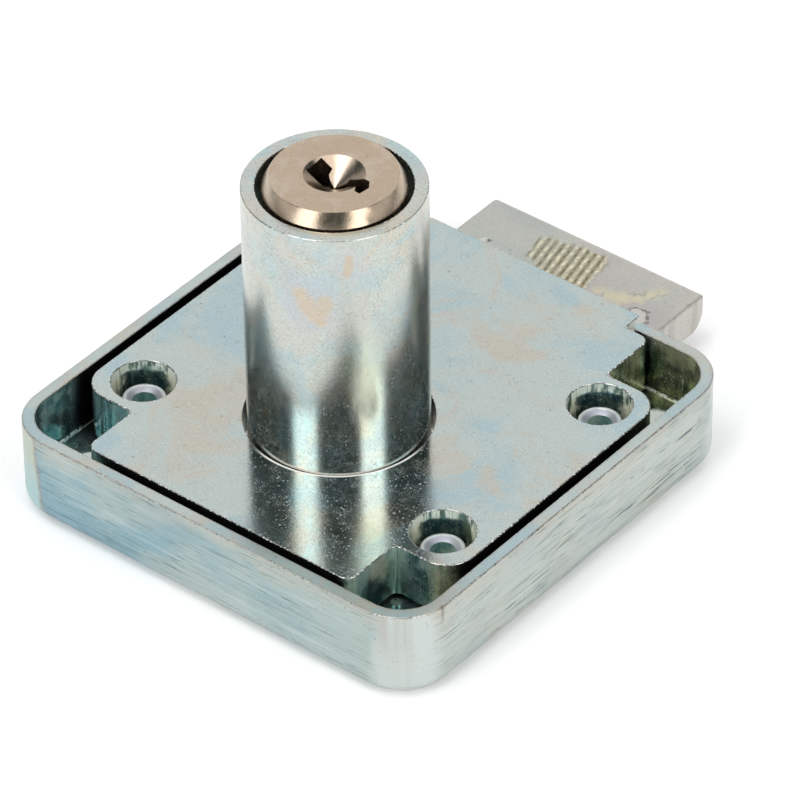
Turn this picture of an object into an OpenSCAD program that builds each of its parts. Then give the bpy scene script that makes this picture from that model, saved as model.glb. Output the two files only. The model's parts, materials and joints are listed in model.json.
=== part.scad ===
// Surface-mounted furniture lock: a shallow cast case under a cover plate, a long
// round cylinder neck with a wafer plug, and a flat bolt thrown by a crank.
// The origin is on the cylinder axis at the case rim. +Z points up the neck to the
// key, and +Y is the way in which the bolt comes out. All sizes are millimetres.

/* [Case] */
// Width of the case, across the bolt
case_w = 51.5; // [48:0.5:60]
// From the cylinder axis to the front edge of the case
case_front = 21; // [20.8:0.1:26]
// Backset, from the cylinder axis to the edge that the bolt leaves
backset = 30.2; // [29.6:0.1:36]
// Depth of the case, from its rim to its back
case_h = 10; // [9.6:0.1:12]
// Thickness of the side walls
wall_t = 1.3; // [1.2:0.05:1.8]
// Thickness of the floor under the two side shelves
shelf_t = 3.5; // [3.3:0.1:4.5]
// Outer radius of the four upright corners
case_corner_r = 5.5; // [4:0.1:8]
// Rounding of the back edge, all round
back_edge_r = 2; // [1:0.1:3]
// Small rounding where the side walls meet the shelves
shelf_fillet_r = 0.5; // [0.2:0.05:0.8]
// Rounding of the two wall ends beside the bolt
mouth_edge_r = 0.6; // [0.3:0.05:0.65]

/* [Cover] */
// Thickness of the cover plate
cover_t = 2; // [1.6:0.1:2.4]
// Thickness of the skirt that hangs from the plate
skirt_t = 1.6; // [1.2:0.1:2]
// Gap between the skirt and the shelves
skirt_lift = 0.75; // [0.4:0.05:1.2]
// Gap between the cover and the case walls on three sides
cover_gap = 1; // [0.6:0.05:1.3]
// Gap between the cover and the wall that the bolt passes
cover_rear_gap = 0.3; // [0.1:0.05:0.5]
// From the wood screws to the side edges of the four corner notches
notch_side_in = 2.3; // [1.8:0.1:3.2]
// From the front wood screws to the front notch edges
notch_front_out = 4.4; // [4.2:0.1:5]
// From the rear wood screws to the rear notch edges
notch_rear_out = 4.1; // [4:0.1:5]
// Radius of the cover corners beside the wood screws
boss_corner_r = 3.2; // [2:0.1:4]
// Radius of the other cover corners
cover_corner_r = 1.2; // [0.5:0.1:2]
// Rounding in the inner corners of the notches
notch_inner_r = 0.8; // [0.3:0.1:1.2]
// How far the tongue of the cover stands out past the case
tongue_out = 0.85; // [0.2:0.05:2]
// Gap between the bolt and the tongue above it
tongue_play = 0.1; // [0.05:0.01:0.2]
// Gap between each side of the tongue and the channel wall
tongue_side_gap = 0.35; // [0.2:0.05:0.6]
// Gap between the cover hole and the neck
neck_gap = 0.5; // [0.2:0.05:0.8]

/* [Wood screws] */
// From the side of the case in to the wood screws
wood_inset = 7; // [6.6:0.1:7.2]
// Spacing of the wood screws along the bolt
pattern_l = 24.7; // [24.5:0.1:26]
// From the cylinder axis to the middle of the screw pattern
pattern_shift = 4.95; // [4.8:0.05:5.2]
// Diameter of the wood screw holes
wood_hole_d = 2.4; // [2:0.1:3]
// Diameter of the countersinks in the back of the case
wood_sink_d = 5; // [4.5:0.1:6]
// Diameter of a screw post at its top
post_d = 4.4; // [4.2:0.1:5]
// How much wider a post is at its foot
post_draft = 0.6; // [0:0.1:1]
// From the rim down to the top of the posts
post_drop = 2; // [1.5:0.1:3]
// Depth of the dish in the top of a post
post_dish = 0.35; // [0.1:0.05:0.6]
// Diameter of the access holes in the cover
access_d = 6.5; // [6:0.1:6.8]
// Wall round the access holes under the cover
access_wall = 1.3; // [0.8:0.1:1.4]

/* [Cover screws] */
// Half the spacing of the cover screws along the bolt
cover_screw_half = 5.25; // [5.2:0.05:5.4]
// Thread diameter of the cover screws
cover_screw_d = 3; // [2.5:0.1:3]
// Head diameter of the cover screws
cover_head_d = 5.5; // [5:0.1:5.8]
// Depth of the cover screw heads
cover_head_h = 1.25; // [1:0.05:1.5]
// Diameter of the screw bosses under the cover
cover_boss_d = 5.4; // [5:0.1:5.6]
// How deep the cover screws reach into their bosses
cover_screw_grip = 3.3; // [2.5:0.1:3.6]

/* [Neck] */
// Outer diameter of the cylinder neck
neck_d = 18; // [17.6:0.1:19]
// Diameter of the relieved neck foot inside the cover
neck_foot_d = 17.4; // [17:0.1:17.6]
// Height of the neck above the case rim
neck_h = 28.2; // [28:0.1:34]
// Diameter of the mouth round the plug head
mouth_d = 15.2; // [15:0.1:15.6]
// Depth of the mouth below the end of the neck
mouth_depth = 3.25; // [2.5:0.05:4]
// Small bevel on the end of the neck
neck_bevel = 0.2; // [0.1:0.05:0.4]
// Diameter of the flange under the cover
flange_d = 22.4; // [21:0.1:23]
// Thickness of the flange and its two ears
flange_t = 1.6; // [1.4:0.1:1.7]
// From the axis to the end of an ear
ear_reach = 16.5; // [16:0.1:17]
// Gap between an ear and the cover bosses beside it
ear_gap = 0.25; // [0.15:0.05:0.5]
// Diameter of the case pillars that carry the ears
pillar_d = 2.4; // [2:0.1:2.6]

/* [Plug] */
// Diameter of the plug face
face_d = 12.5; // [12:0.1:13]
// Diameter of the plug head
head_d = 14.15; // [13.8:0.05:14.6]
// How far the plug face stands out of the neck
face_proud = 1.3; // [1:0.1:1.6]
// Height of the bevel round the plug face
face_bevel_h = 1.45; // [1:0.05:1.9]
// Diameter of the plug body
plug_d = 12.4; // [12:0.1:12.8]
// Radial running clearance of the plug in the neck
plug_play = 0.05; // [0.02:0.01:0.1]
// Diameter of the conical recess in the plug face
cone_d = 6; // [5:0.1:7]
// Depth of the conical recess
cone_h = 1.8; // [1.2:0.1:2.4]
// Depth of the key slot below the case rim
keyway_drop = 1; // [0.5:0.1:1.2]

/* [Wafers] */
// Height of the lowest wafer above the case rim
wafer_first = 4.5; // [3:0.1:6]
// Spacing of the wafers along the plug
wafer_pitch = 2.6; // [2.2:0.1:2.7]
// Thickness of a wafer
wafer_t = 1.2; // [1:0.05:1.3]
// Width of a wafer across its travel
wafer_w = 4.2; // [4:0.1:4.4]
// Travel of a wafer out of the plug
wafer_travel = 0.8; // [0.4:0.05:0.9]
// Clearance round a wafer in its slot
wafer_play = 0.05; // [0.03:0.01:0.08]
// Step between two depths of cut
cut_step = 0.4; // [0.2:0.05:0.5]
// Diameter of the spring wire
spring_wire_d = 0.2; // [0.15:0.01:0.25]
// Outer diameter of a wafer spring
spring_d = 1.1; // [0.9:0.05:1.1]
// Turns of a wafer spring
spring_turns = 6; // [4:1:7]

/* [Drive] */
// Radius at which the crank pin turns, half the throw of the bolt
crank_r = 5.5; // [5:0.05:5.6]
// Diameter of the crank pin
crank_pin_d = 3; // [2.5:0.1:3]
// Diameter of the driver disc
driver_d = 14.8; // [14.4:0.1:15]
// Gap between the driver disc and the tail of the bolt
driver_gap = 0.2; // [0.1:0.05:0.4]
// Thickness of the driver disc
driver_t = 2; // [1.8:0.05:2.05]
// Width of the tang on the end of the plug
tang_w = 4.6; // [4:0.1:5]
// Length of the tang
tang_h = 1.1; // [0.8:0.1:1.2]
// Thread diameter of the driver screw
driver_screw_d = 3; // [2.5:0.1:3]
// Head diameter of the driver screw
driver_head_d = 4.8; // [4.2:0.1:5]

/* [Bolt] */
// Width of the bolt
bolt_w = 26.6; // [26:0.1:26.8]
// Thickness of the bolt head
bolt_t = 3.95; // [3.8:0.05:4]
// Thickness of the tail plate
tail_t = 1.8; // [1.6:0.05:1.85]
// From the cylinder axis to the bolt nose when thrown
bolt_reach = 42.1; // [42:0.1:46]
// From the cylinder axis to the step behind the bolt head when thrown
bolt_step = 18.8; // [18.8:0.1:19.4]
// From the cylinder axis to the end of the tail when thrown
tail_reach = 8.5; // [8.4:0.1:8.6]
// Gap on each side of the bolt in its channel
bolt_side_gap = 0.4; // [0.2:0.05:0.5]
// Gap under the bolt
bolt_floor_gap = 0.2; // [0.1:0.05:0.25]
// Rounding of the upper nose edge
nose_top_r = 0.7; // [0.3:0.1:1.2]
// Rounding of the lower nose edge
nose_low_r = 2.3; // [1:0.1:2.6]
// Rounding of the bolt corners seen from above
bolt_corner_r = 0.6; // [0.2:0.1:1.5]
// Clearance between the crank pin and the edge of its slot
slot_play = 0.2; // [0.1:0.05:0.3]

/* [Hidden] */
$fn = 96;
// Depth of cut of each wafer, in steps, from the lowest: a made-up key
cut_code = [1, 0, 2, 1, 2, 0, 1];
wafer_count = len(cut_code);
// Overrun of a cut past the face that it opens
over = 1;

// Levels inside, stacked from the cover down: flange, plug, driver, bolt and channel
plug_under_flange = 0.3;
flange_z = -cover_t - flange_t;
plug_end = flange_z - plug_under_flange;
driver_z = plug_end - driver_t;
tail_top = driver_z - driver_gap;
bolt_z = tail_top - tail_t;
bolt_top = bolt_z + bolt_t;
tongue_z = bolt_top + tongue_play;
channel_z = bolt_z - bolt_floor_gap;

// Case: half width, inner walls and the shelves
case_x = case_w / 2;
inner_x = case_x - wall_t;
inner_front = -case_front + wall_t;
inner_rear = backset - wall_t;
inner_corner_r = case_corner_r - wall_t;
shelf_z = -case_h + shelf_t;
bolt_x = bolt_w / 2;
channel_x = bolt_x + bolt_side_gap;
mouth_widening = 0.2;
mouth_x = channel_x + mouth_widening;

// Wood screw places
wood_x = case_x - wood_inset;
wood_front = pattern_shift - pattern_l / 2;
wood_rear = pattern_shift + pattern_l / 2;
wood_sink_h = (wood_sink_d - wood_hole_d) / 2;
dish_slope = 2;

// Cover outline
cover_x = inner_x - cover_gap;
cover_front = inner_front + cover_gap;
cover_rear = inner_rear - cover_rear_gap;
notch_x = wood_x - notch_side_in;
notch_front = wood_front - notch_front_out;
notch_rear = wood_rear + notch_rear_out;
tongue_x = channel_x - tongue_side_gap;
tongue_end = backset + tongue_out;
skirt_z = shelf_z + skirt_lift;
sharp_r = 0.2;

// Cover screws stand midway between the bolt channel and the skirt
cover_screw_x = (channel_x + cover_x - skirt_t) / 2;
cover_screw_clear = 0.1;
cover_screw_spare = 0.4;
thread_clear = 0.05;
cover_recess_reach = 1.5;
cover_recess_h = 1.1;

// Neck and flange
neck_r = neck_d / 2;
cover_hole_r = neck_r + neck_gap;
ear_half = cover_screw_half - cover_boss_d / 2 - ear_gap;
ear_root = 4;
pillar_edge = 0.1;
pillar_x = ear_reach - pillar_d / 2 - pillar_edge;
plug_r = plug_d / 2;
bore_r = plug_r + plug_play;
mouth_z = neck_h - mouth_depth;
groove_depth = 0.95;
groove_side = 0.15;
groove_r = bore_r + groove_depth;
groove_half = wafer_w / 2 + groove_side;

// Plug, retaining ring, driver disc and its screw
shoulder_play = 0.05;
face_z = neck_h + face_proud;
clip_t = 0.8;
clip_play = 0.05;
clip_overlap = 1.2;
clip_bite = 0.7;
clip_room = 0.6;
clip_lift = 0.1;
clip_gap = 4;
clip_r = plug_r + clip_overlap;
clip_groove_r = plug_r - clip_bite;
clip_recess_r = clip_r + clip_room;
clip_recess_h = clip_lift + clip_t + 2 * shoulder_play + clip_play;
clip_z = flange_z + clip_lift;
tang_r = 3.2;
tang_play = 0.05;
driver_head_h = (driver_head_d - driver_screw_d) / 2;
driver_recess_reach = 1.3;
driver_recess_h = 0.8;
keyway_floor = 1;
driver_screw_end = -keyway_drop - keyway_floor;
driver_screw_spare = 0.2;
pin_seat = 1.5;
pin_floor_gap = 0.3;
pin_end = channel_z + pin_floor_gap;
press_play = 0.02;

// Wafers and their springs
wafer_inset = 0.05;
wafer_r = plug_r - wafer_inset;
rail_t = 0.75;
window_half = wafer_w / 2 - rail_t;
window_spare = 0.2;
slot_half_t = wafer_t / 2 + wafer_play;
arm_x = 2;
arm_w = 0.9;
arm_y = 3.9;
arm_play = 0.1;
spring_room = 4.2;
spring_y = 3;

// Key slot outline: the wide warded end lies to -X and the hooked end to +X
key_wide_end = -2.62;
key_hook_end = 4.05;
key_outline = [
    [key_wide_end, -1.1],
    [-0.3, -1.1],
    [-0.3, -0.45],
    [1.35, -0.45],
    [1.6, -0.2],
    [2.85, -0.3],
    [3.25, -1],
    [3.9, -1.05],
    [key_hook_end, 0.2],
    [3.45, 1.05],
    [1, 1.1],
    [1, 0.5],
    [0.6, 0.3],
    [-0.05, 0],
    [-0.8, 0.28],
    [-1.15, 0.6],
    [-1.25, 1.25],
    [key_wide_end, 1.25]
];

// Rectangle from -x to x and from y0 to y1 with true round corners
module round_rect(x, y0, y1, r) {
    translate([-x + r, y0]) square([2 * (x - r), y1 - y0]);
    translate([-x, y0 + r]) square([2 * x, y1 - y0 - 2 * r]);
    for (side = [-1, 1], y = [y0 + r, y1 - r])
        translate([side * (x - r), y]) circle(r);
}

// What a round of radius r leaves of the square corner at the origin
module corner_waste(r) {
    difference() {
        square(r);
        translate([r, r]) circle(r);
    }
}

// Section through a rim strip: width r, height h, with its lower outer edge rounded
module rim_section(r, h, edge) {
    difference() {
        translate([0, -h]) square([r, h]);
        translate([r, -h]) mirror([1, 0]) corner_waste(edge);
    }
}

// Pan from the rim plane down to -h, with upright corners r and a rounded back edge:
// four quarter turns and four straight strips of one section round a plain core
module pan(x, y0, y1, h, r, edge) {
    translate([-x + r, y0 + r, -h]) cube([2 * (x - r), y1 - y0 - 2 * r, h]);
    translate([x - r, y1 - r, 0]) rotate_extrude(angle = 90) rim_section(r, h, edge);
    translate([-x + r, y1 - r, 0]) rotate([0, 0, 90]) rotate_extrude(angle = 90) rim_section(r, h, edge);
    translate([-x + r, y0 + r, 0]) rotate([0, 0, 180]) rotate_extrude(angle = 90) rim_section(r, h, edge);
    translate([x - r, y0 + r, 0]) rotate([0, 0, 270]) rotate_extrude(angle = 90) rim_section(r, h, edge);
    for (turn = [0, 180])
        rotate([0, 0, turn]) {
            side_y = turn == 0 ? y1 : -y0;
            far_y = turn == 0 ? y0 : -y1;
            translate([x - r, side_y - r, 0]) rotate([90, 0, 0])
                linear_extrude(side_y - far_y - 2 * r) rim_section(r, h, edge);
            translate([-x + r, side_y - r, 0]) rotate([90, 0, 90])
                linear_extrude(2 * (x - r)) rim_section(r, h, edge);
        }
}

// Puts its children at the four wood screws, and at the four cover screws
module at_wood_screws() {
    for (side = [-1, 1], y = [wood_front, wood_rear])
        translate([side * wood_x, y, 0]) children();
}

module at_cover_screws() {
    for (side = [-1, 1], end = [-1, 1])
        translate([side * cover_screw_x, pattern_shift + end * cover_screw_half, 0]) children();
}

// Gap in the wall for the bolt, with both wall ends rounded
module mouth_plan() {
    translate([-mouth_x, inner_rear - over]) square([2 * mouth_x, wall_t + 2 * over]);
    for (side = [0, 1])
        mirror([side, 0]) {
            translate([mouth_x, inner_rear]) corner_waste(mouth_edge_r);
            translate([mouth_x, backset]) mirror([0, 1]) corner_waste(mouth_edge_r);
        }
}

// Open cast tray with two shelves, a sunk channel for the bolt, and screw posts
module case() {
    color("lightsteelblue") difference() {
        union() {
            difference() {
                pan(case_x, -case_front, backset, case_h, case_corner_r, back_edge_r);
                translate([0, 0, over]) pan(inner_x, inner_front, inner_rear, over - shelf_z,
                    inner_corner_r, shelf_fillet_r);
                translate([-channel_x, inner_front, channel_z])
                    cube([2 * channel_x, inner_rear - inner_front, over - channel_z]);
                translate([0, 0, channel_z]) linear_extrude(over - channel_z) mouth_plan();
            }
            at_wood_screws() translate([0, 0, shelf_z - over])
                cylinder(h = -post_drop - shelf_z + over, d1 = post_d + post_draft, d2 = post_d);
            for (side = [-1, 1])
                translate([side * pillar_x, pattern_shift, shelf_z - over])
                    cylinder(h = flange_z - shelf_z + over, d = pillar_d);
        }
        at_wood_screws() {
            translate([0, 0, -case_h - over]) cylinder(h = case_h + 2 * over, d = wood_hole_d);
            translate([0, 0, -case_h]) cylinder(h = wood_sink_h, d1 = wood_sink_d, d2 = wood_hole_d);
            translate([0, 0, -post_drop - post_dish])
                cylinder(h = post_dish, d1 = wood_hole_d, d2 = wood_hole_d + 2 * dish_slope * post_dish);
        }
        at_cover_screws() {
            translate([0, 0, -case_h - over])
                cylinder(h = shelf_t + 2 * over, d = cover_screw_d + 2 * cover_screw_clear);
            translate([0, 0, -case_h]) cylinder(h = cover_head_h + cover_screw_clear,
                d1 = cover_head_d + 2 * cover_screw_clear, d2 = cover_screw_d + 2 * cover_screw_clear);
        }
    }
}

// Outline of the cover without its tongue, drawn in by d: a long bar, and a wide
// band between the corner notches, with small rounds in the inner corners
module cover_outline(d) {
    round_rect(notch_x - d, cover_front + d, cover_rear - d, max(cover_corner_r - d, sharp_r));
    round_rect(cover_x - d, notch_front + d, notch_rear - d, max(boss_corner_r - d, sharp_r));
    for (side = [0, 1])
        mirror([side, 0]) {
            translate([notch_x - d, notch_rear - d]) corner_waste(notch_inner_r + d);
            translate([notch_x - d, notch_front + d]) mirror([0, 1]) corner_waste(notch_inner_r + d);
        }
}

// Cast cover: plate, skirt, tongue over the bolt, screw bosses and access tubes
module cover() {
    skirt_h = -cover_t - skirt_z;
    tongue_root = cover_rear - skirt_t;
    access_r = access_d / 2;
    color("silver") difference() {
        union() {
            translate([0, 0, -cover_t]) linear_extrude(cover_t) cover_outline(0);
            translate([0, 0, skirt_z]) linear_extrude(skirt_h) difference() {
                cover_outline(0);
                cover_outline(skirt_t);
            }
            translate([-tongue_x, tongue_root, tongue_z])
                cube([2 * tongue_x, tongue_end - tongue_root, -tongue_z]);
            intersection() {
                at_wood_screws() translate([0, 0, skirt_z])
                    cylinder(h = -skirt_z, r = access_r + access_wall);
                translate([0, 0, skirt_z]) linear_extrude(-skirt_z) cover_outline(0);
            }
            at_cover_screws() translate([0, 0, shelf_z])
                cylinder(h = -cover_t / 2 - shelf_z, d = cover_boss_d);
        }
        at_wood_screws() translate([0, 0, skirt_z - over]) cylinder(h = 2 * over - skirt_z, r = access_r);
        translate([0, 0, -cover_t - over]) cylinder(h = cover_t + 2 * over, r = cover_hole_r);
        at_cover_screws() translate([0, 0, shelf_z - over])
            cylinder(h = cover_screw_grip + cover_screw_spare + over, d = cover_screw_d);
        translate([-channel_x, bolt_step - over, skirt_z - over])
            cube([2 * channel_x, tongue_end, tongue_z - skirt_z + over]);
    }
}

// Cross recess for a screw head that faces down, cut up from the plane z = 0: each
// slot is a fifth of its length wide
module cross_recess(reach, depth) {
    for (turn = [0, 90])
        rotate([0, 0, turn]) translate([-reach, -reach / 5, -over])
            cube([2 * reach, 2 * reach / 5, depth + over]);
}

// Four countersunk machine screws that hold the cover from the back
module cover_screws() {
    shank_end = shelf_z + cover_screw_grip;
    color("gainsboro") at_cover_screws() difference() {
        union() {
            translate([0, 0, -case_h]) cylinder(h = cover_head_h, d1 = cover_head_d,
                d2 = cover_screw_d - 2 * thread_clear);
            translate([0, 0, -case_h + cover_head_h]) cylinder(h = shank_end + case_h - cover_head_h,
                d = cover_screw_d - 2 * thread_clear);
        }
        translate([0, 0, -case_h]) cross_recess(cover_recess_reach, cover_recess_h);
    }
}

// Neck with its flange, mouth, wafer grooves, and two ears that key it in the case
module cylinder_housing() {
    flange_r = flange_d / 2;
    foot_r = neck_foot_d / 2;
    color("lightslategray") difference() {
        union() {
            rotate_extrude() polygon([
                [0, flange_z],
                [flange_r, flange_z],
                [flange_r, -cover_t],
                [foot_r, -cover_t],
                [foot_r, 0],
                [neck_r, 0],
                [neck_r, neck_h - neck_bevel],
                [neck_r - neck_bevel, neck_h],
                [0, neck_h]
            ]);
            for (side = [0, 1])
                mirror([side, 0, 0]) translate([flange_r - ear_root, pattern_shift - ear_half, flange_z])
                    cube([ear_reach - flange_r + ear_root, 2 * ear_half, flange_t]);
        }
        translate([0, 0, flange_z - over]) cylinder(h = neck_h - flange_z + 2 * over, r = bore_r);
        translate([0, 0, mouth_z]) cylinder(h = mouth_depth + over, d = mouth_d);
        translate([0, 0, flange_z - over]) cylinder(h = clip_recess_h + over, r = clip_recess_r);
        intersection() {
            translate([0, 0, flange_z - over]) cylinder(h = mouth_z - flange_z + over, r = groove_r);
            translate([-groove_r, -groove_half, flange_z - over])
                cube([2 * groove_r, 2 * groove_half, mouth_z - flange_z + 2 * over]);
        }
    }
}

// Height of the middle of wafer i
function wafer_z(i) = wafer_first + i * wafer_pitch;

// Plug turned in one profile, with its key slot, wafer slots, spring pockets and tang
module plug() {
    clip_low = clip_z - clip_play;
    clip_high = clip_z + clip_t + clip_play;
    pocket_end = arm_x + arm_w + wafer_travel + arm_play;
    pocket_start = arm_x - spring_room;
    tang_end = plug_end - tang_h;
    color("wheat") difference() {
        union() {
            rotate_extrude() polygon([
                [0, plug_end],
                [plug_r, plug_end],
                [plug_r, clip_low],
                [clip_groove_r, clip_low],
                [clip_groove_r, clip_high],
                [plug_r, clip_high],
                [plug_r, mouth_z + shoulder_play],
                [head_d / 2, mouth_z + shoulder_play],
                [head_d / 2, face_z - face_bevel_h],
                [face_d / 2, face_z],
                [0, face_z]
            ]);
            intersection() {
                translate([0, 0, tang_end]) cylinder(h = tang_h + over, r = tang_r);
                translate([-tang_r, -tang_w / 2, tang_end])
                    cube([2 * tang_r, tang_w, tang_h + over]);
            }
        }
        translate([0, 0, face_z - cone_h]) cylinder(h = cone_h, d1 = 0, d2 = cone_d);
        translate([0, 0, -keyway_drop]) linear_extrude(face_z + keyway_drop + over) polygon(key_outline);
        for (i = [0 : wafer_count - 1])
            translate([0, 0, wafer_z(i) - slot_half_t]) {
                translate([-plug_r - over, -wafer_w / 2 - wafer_play, 0])
                    cube([2 * (plug_r + over), wafer_w + 2 * wafer_play, 2 * slot_half_t]);
                translate([pocket_start, 0, 0])
                    cube([pocket_end - pocket_start, arm_y + arm_play, 2 * slot_half_t]);
            }
        translate([0, 0, tang_end - over])
            cylinder(h = driver_screw_end + driver_screw_spare - tang_end + over, d = driver_screw_d);
    }
}

// Snap ring in the groove at the foot of the plug
module plug_circlip() {
    color("dimgray") translate([0, 0, clip_z]) difference() {
        cylinder(h = clip_t, r = clip_r);
        translate([0, 0, -over]) cylinder(h = clip_t + 2 * over, r = clip_groove_r + clip_play);
        translate([-clip_gap / 2, -clip_r - over, -over]) cube([clip_gap, clip_r + over, clip_t + 2 * over]);
    }
}

// Driver disc that sits on the tang and carries the crank pin
module driver() {
    hole_r = driver_screw_d / 2 + tang_play;
    sink_h = driver_head_h + tang_play;
    color("darkgray") difference() {
        translate([0, 0, driver_z]) cylinder(h = driver_t, d = driver_d);
        intersection() {
            translate([0, 0, plug_end - tang_h]) cylinder(h = tang_h + over, r = tang_r + tang_play);
            translate([-tang_r - over, -tang_w / 2 - tang_play, plug_end - tang_h])
                cube([2 * (tang_r + over), tang_w + 2 * tang_play, tang_h + over]);
        }
        translate([0, 0, driver_z - over]) cylinder(h = driver_t + over, r = hole_r);
        translate([0, 0, driver_z]) cylinder(h = sink_h, r1 = hole_r + sink_h, r2 = hole_r);
        translate([0, crank_r, driver_z - over])
            cylinder(h = pin_seat + over, r = crank_pin_d / 2 + press_play);
    }
}

// Pin pressed into the driver, which runs in the slot of the bolt
module crank_pin() {
    color("slategray") translate([0, crank_r, pin_end])
        cylinder(h = driver_z + pin_seat - pin_end, d = crank_pin_d);
}

// Countersunk screw that holds the driver on the plug
module driver_screw() {
    shank_d = driver_screw_d - 2 * thread_clear;
    color("gainsboro") difference() {
        union() {
            translate([0, 0, driver_z]) cylinder(h = driver_head_h, d1 = driver_head_d, d2 = shank_d);
            translate([0, 0, driver_z + driver_head_h])
                cylinder(h = driver_screw_end - driver_z - driver_head_h, d = shank_d);
        }
        translate([0, 0, driver_z]) cross_recess(driver_recess_reach, driver_recess_h);
    }
}

// Place of the crank pin seen from the bolt after a turn t, when the bolt moves in
// step with the key: it swings out by a sine, and it leads or lags the steady travel
function pin_path(t) = crank_r * [sin(t), cos(t) - 1 + t / 90];

// Outward unit normal of that path
function path_slope(t) = [cos(t), -sin(t) + 2 / PI];
function path_normal(t) = [-path_slope(t)[1], path_slope(t)[0]] / norm(path_slope(t));

// One half of the crank slot: the path of the pin, widened by its radius and play
module slot_half_plan() {
    reach = crank_pin_d / 2 + slot_play;
    steps = 12;
    upper = [for (i = [0 : steps]) let (t = 90 * i / steps) pin_path(t) + reach * path_normal(t)];
    lower = [for (i = [1 : steps]) let (p = upper[steps - i]) [p[0], -p[1]]];
    polygon(concat([[0, 0]], upper, lower));
}

// Flat bolt: full-thickness head with a rounded nose, and a thin tail with the slot
module bolt() {
    tail_end = -tail_reach;
    color("lightgray") difference() {
        intersection() {
            rotate([90, 0, 90]) linear_extrude(bolt_w + 2 * over, center = true) difference() {
                union() {
                    translate([bolt_step, bolt_z]) square([bolt_reach - bolt_step, bolt_t]);
                    translate([tail_end, bolt_z]) square([bolt_step - tail_end + over, tail_t]);
                }
                translate([bolt_reach, bolt_top]) rotate(180) corner_waste(nose_top_r);
                translate([bolt_reach, bolt_z]) mirror([1, 0]) corner_waste(nose_low_r);
            }
            translate([0, 0, bolt_z - over]) linear_extrude(bolt_t + 2 * over)
                round_rect(bolt_x, tail_end, bolt_reach, bolt_corner_r);
        }
        translate([0, crank_r, bolt_z - over]) linear_extrude(tail_t + 2 * over)
            for (side = [0, 1]) mirror([side, 0]) slot_half_plan();
    }
}

// Wafer i: a plate with round ends, a key window cut to its own depth, and an arm
// for its spring
module wafer(i) {
    window_start = key_wide_end + cut_code[i] * cut_step;
    window_end = key_hook_end + window_spare;
    color("goldenrod") translate([0, 0, wafer_z(i) - wafer_t / 2]) difference() {
        union() {
            intersection() {
                cylinder(h = wafer_t, r = wafer_r);
                translate([-wafer_r, -wafer_w / 2, 0]) cube([2 * wafer_r, wafer_w, wafer_t]);
            }
            translate([arm_x, window_half, 0]) cube([arm_w, arm_y - window_half, wafer_t]);
        }
        translate([window_start, -window_half, -over])
            cube([window_end - window_start, 2 * window_half, wafer_t + 2 * over]);
    }
}

// Ring of points round the spring wire at turn t, where the spring starts at x0
function wire_ring(t, x0, length, coil_r, sides) = [
    for (k = [0 : sides - 1])
        let (a = 360 * k / sides, r = coil_r + spring_wire_d / 2 * cos(a))
            [x0 + length * t / spring_turns + spring_wire_d / 2 * sin(a), r * cos(360 * t), r * sin(360 * t)]
];

// Compression spring i, one unbroken wire wound along X
module wafer_spring(i) {
    sides = 6;
    rings_per_turn = 8;
    seat_gap = 0.05;
    x0 = arm_x - spring_room + seat_gap + spring_wire_d / 2;
    length = spring_room - 2 * seat_gap - spring_wire_d;
    coil_r = (spring_d - spring_wire_d) / 2;
    last = spring_turns * rings_per_turn;
    points = [for (n = [0 : last]) each wire_ring(n / rings_per_turn, x0, length, coil_r, sides)];
    walls = [
        for (n = [0 : last - 1], k = [0 : sides - 1])
            let (a = n * sides + k, b = n * sides + (k + 1) % sides, c = a + sides, d = b + sides)
                each [[a, c, b], [b, c, d]]
    ];
    first_cap = [for (k = [1 : sides - 2]) [0, k, k + 1]];
    last_cap = [for (k = [1 : sides - 2]) [last * sides, last * sides + k + 1, last * sides + k]];
    color("lightyellow") translate([0, spring_y, wafer_z(i)])
        polyhedron(points, concat(walls, first_cap, last_cap));
}

case();
cover();
cover_screws();
cylinder_housing();
plug();
plug_circlip();
driver();
crank_pin();
driver_screw();
bolt();
for (i = [0 : wafer_count - 1]) {
    wafer(i);
    wafer_spring(i);
}
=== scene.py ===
import json
import math
from functools import reduce

import bpy
import numpy as np
from bpy.props import FloatProperty, FloatVectorProperty, IntProperty, PointerProperty
from mathutils import Matrix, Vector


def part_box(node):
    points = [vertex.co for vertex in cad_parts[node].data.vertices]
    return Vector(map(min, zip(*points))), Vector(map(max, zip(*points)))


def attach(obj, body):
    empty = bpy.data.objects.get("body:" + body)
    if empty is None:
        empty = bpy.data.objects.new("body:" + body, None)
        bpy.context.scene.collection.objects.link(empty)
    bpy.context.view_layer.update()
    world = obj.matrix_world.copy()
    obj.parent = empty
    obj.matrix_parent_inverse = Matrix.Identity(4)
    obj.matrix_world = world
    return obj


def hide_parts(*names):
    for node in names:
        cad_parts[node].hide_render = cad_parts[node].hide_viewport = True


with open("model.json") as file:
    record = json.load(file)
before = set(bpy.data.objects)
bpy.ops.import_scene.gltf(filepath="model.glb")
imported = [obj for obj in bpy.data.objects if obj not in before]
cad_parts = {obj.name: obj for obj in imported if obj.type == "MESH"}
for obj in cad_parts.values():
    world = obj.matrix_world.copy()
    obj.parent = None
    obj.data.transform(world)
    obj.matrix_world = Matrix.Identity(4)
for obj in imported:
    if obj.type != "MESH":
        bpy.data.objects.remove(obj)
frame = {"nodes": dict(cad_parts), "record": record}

bl_info = {
    "name": "Surface-mounted furniture lock",
    "version": (1, 0, 0),
    "blender": (4, 5, 0),
    "location": "View3D > Sidebar > Furniture lock",
    "description": "Builds the visible pieces, finishes and studio of a surface-mounted furniture lock",
    "category": "Object",
}

MM = 0.001
# direction of the camera of the photograph, in degrees
CAMERA_AZIMUTH, CAMERA_ELEVATION, CAMERA_ROLL = 39.161, 38.448, -0.694
CAMERA_TURN = math.radians(CAMERA_AZIMUTH)
# the neck stands a little forward in its hole, towards the front corner
HOLE_MIDDLE = (-0.265, 0.326)
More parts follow.
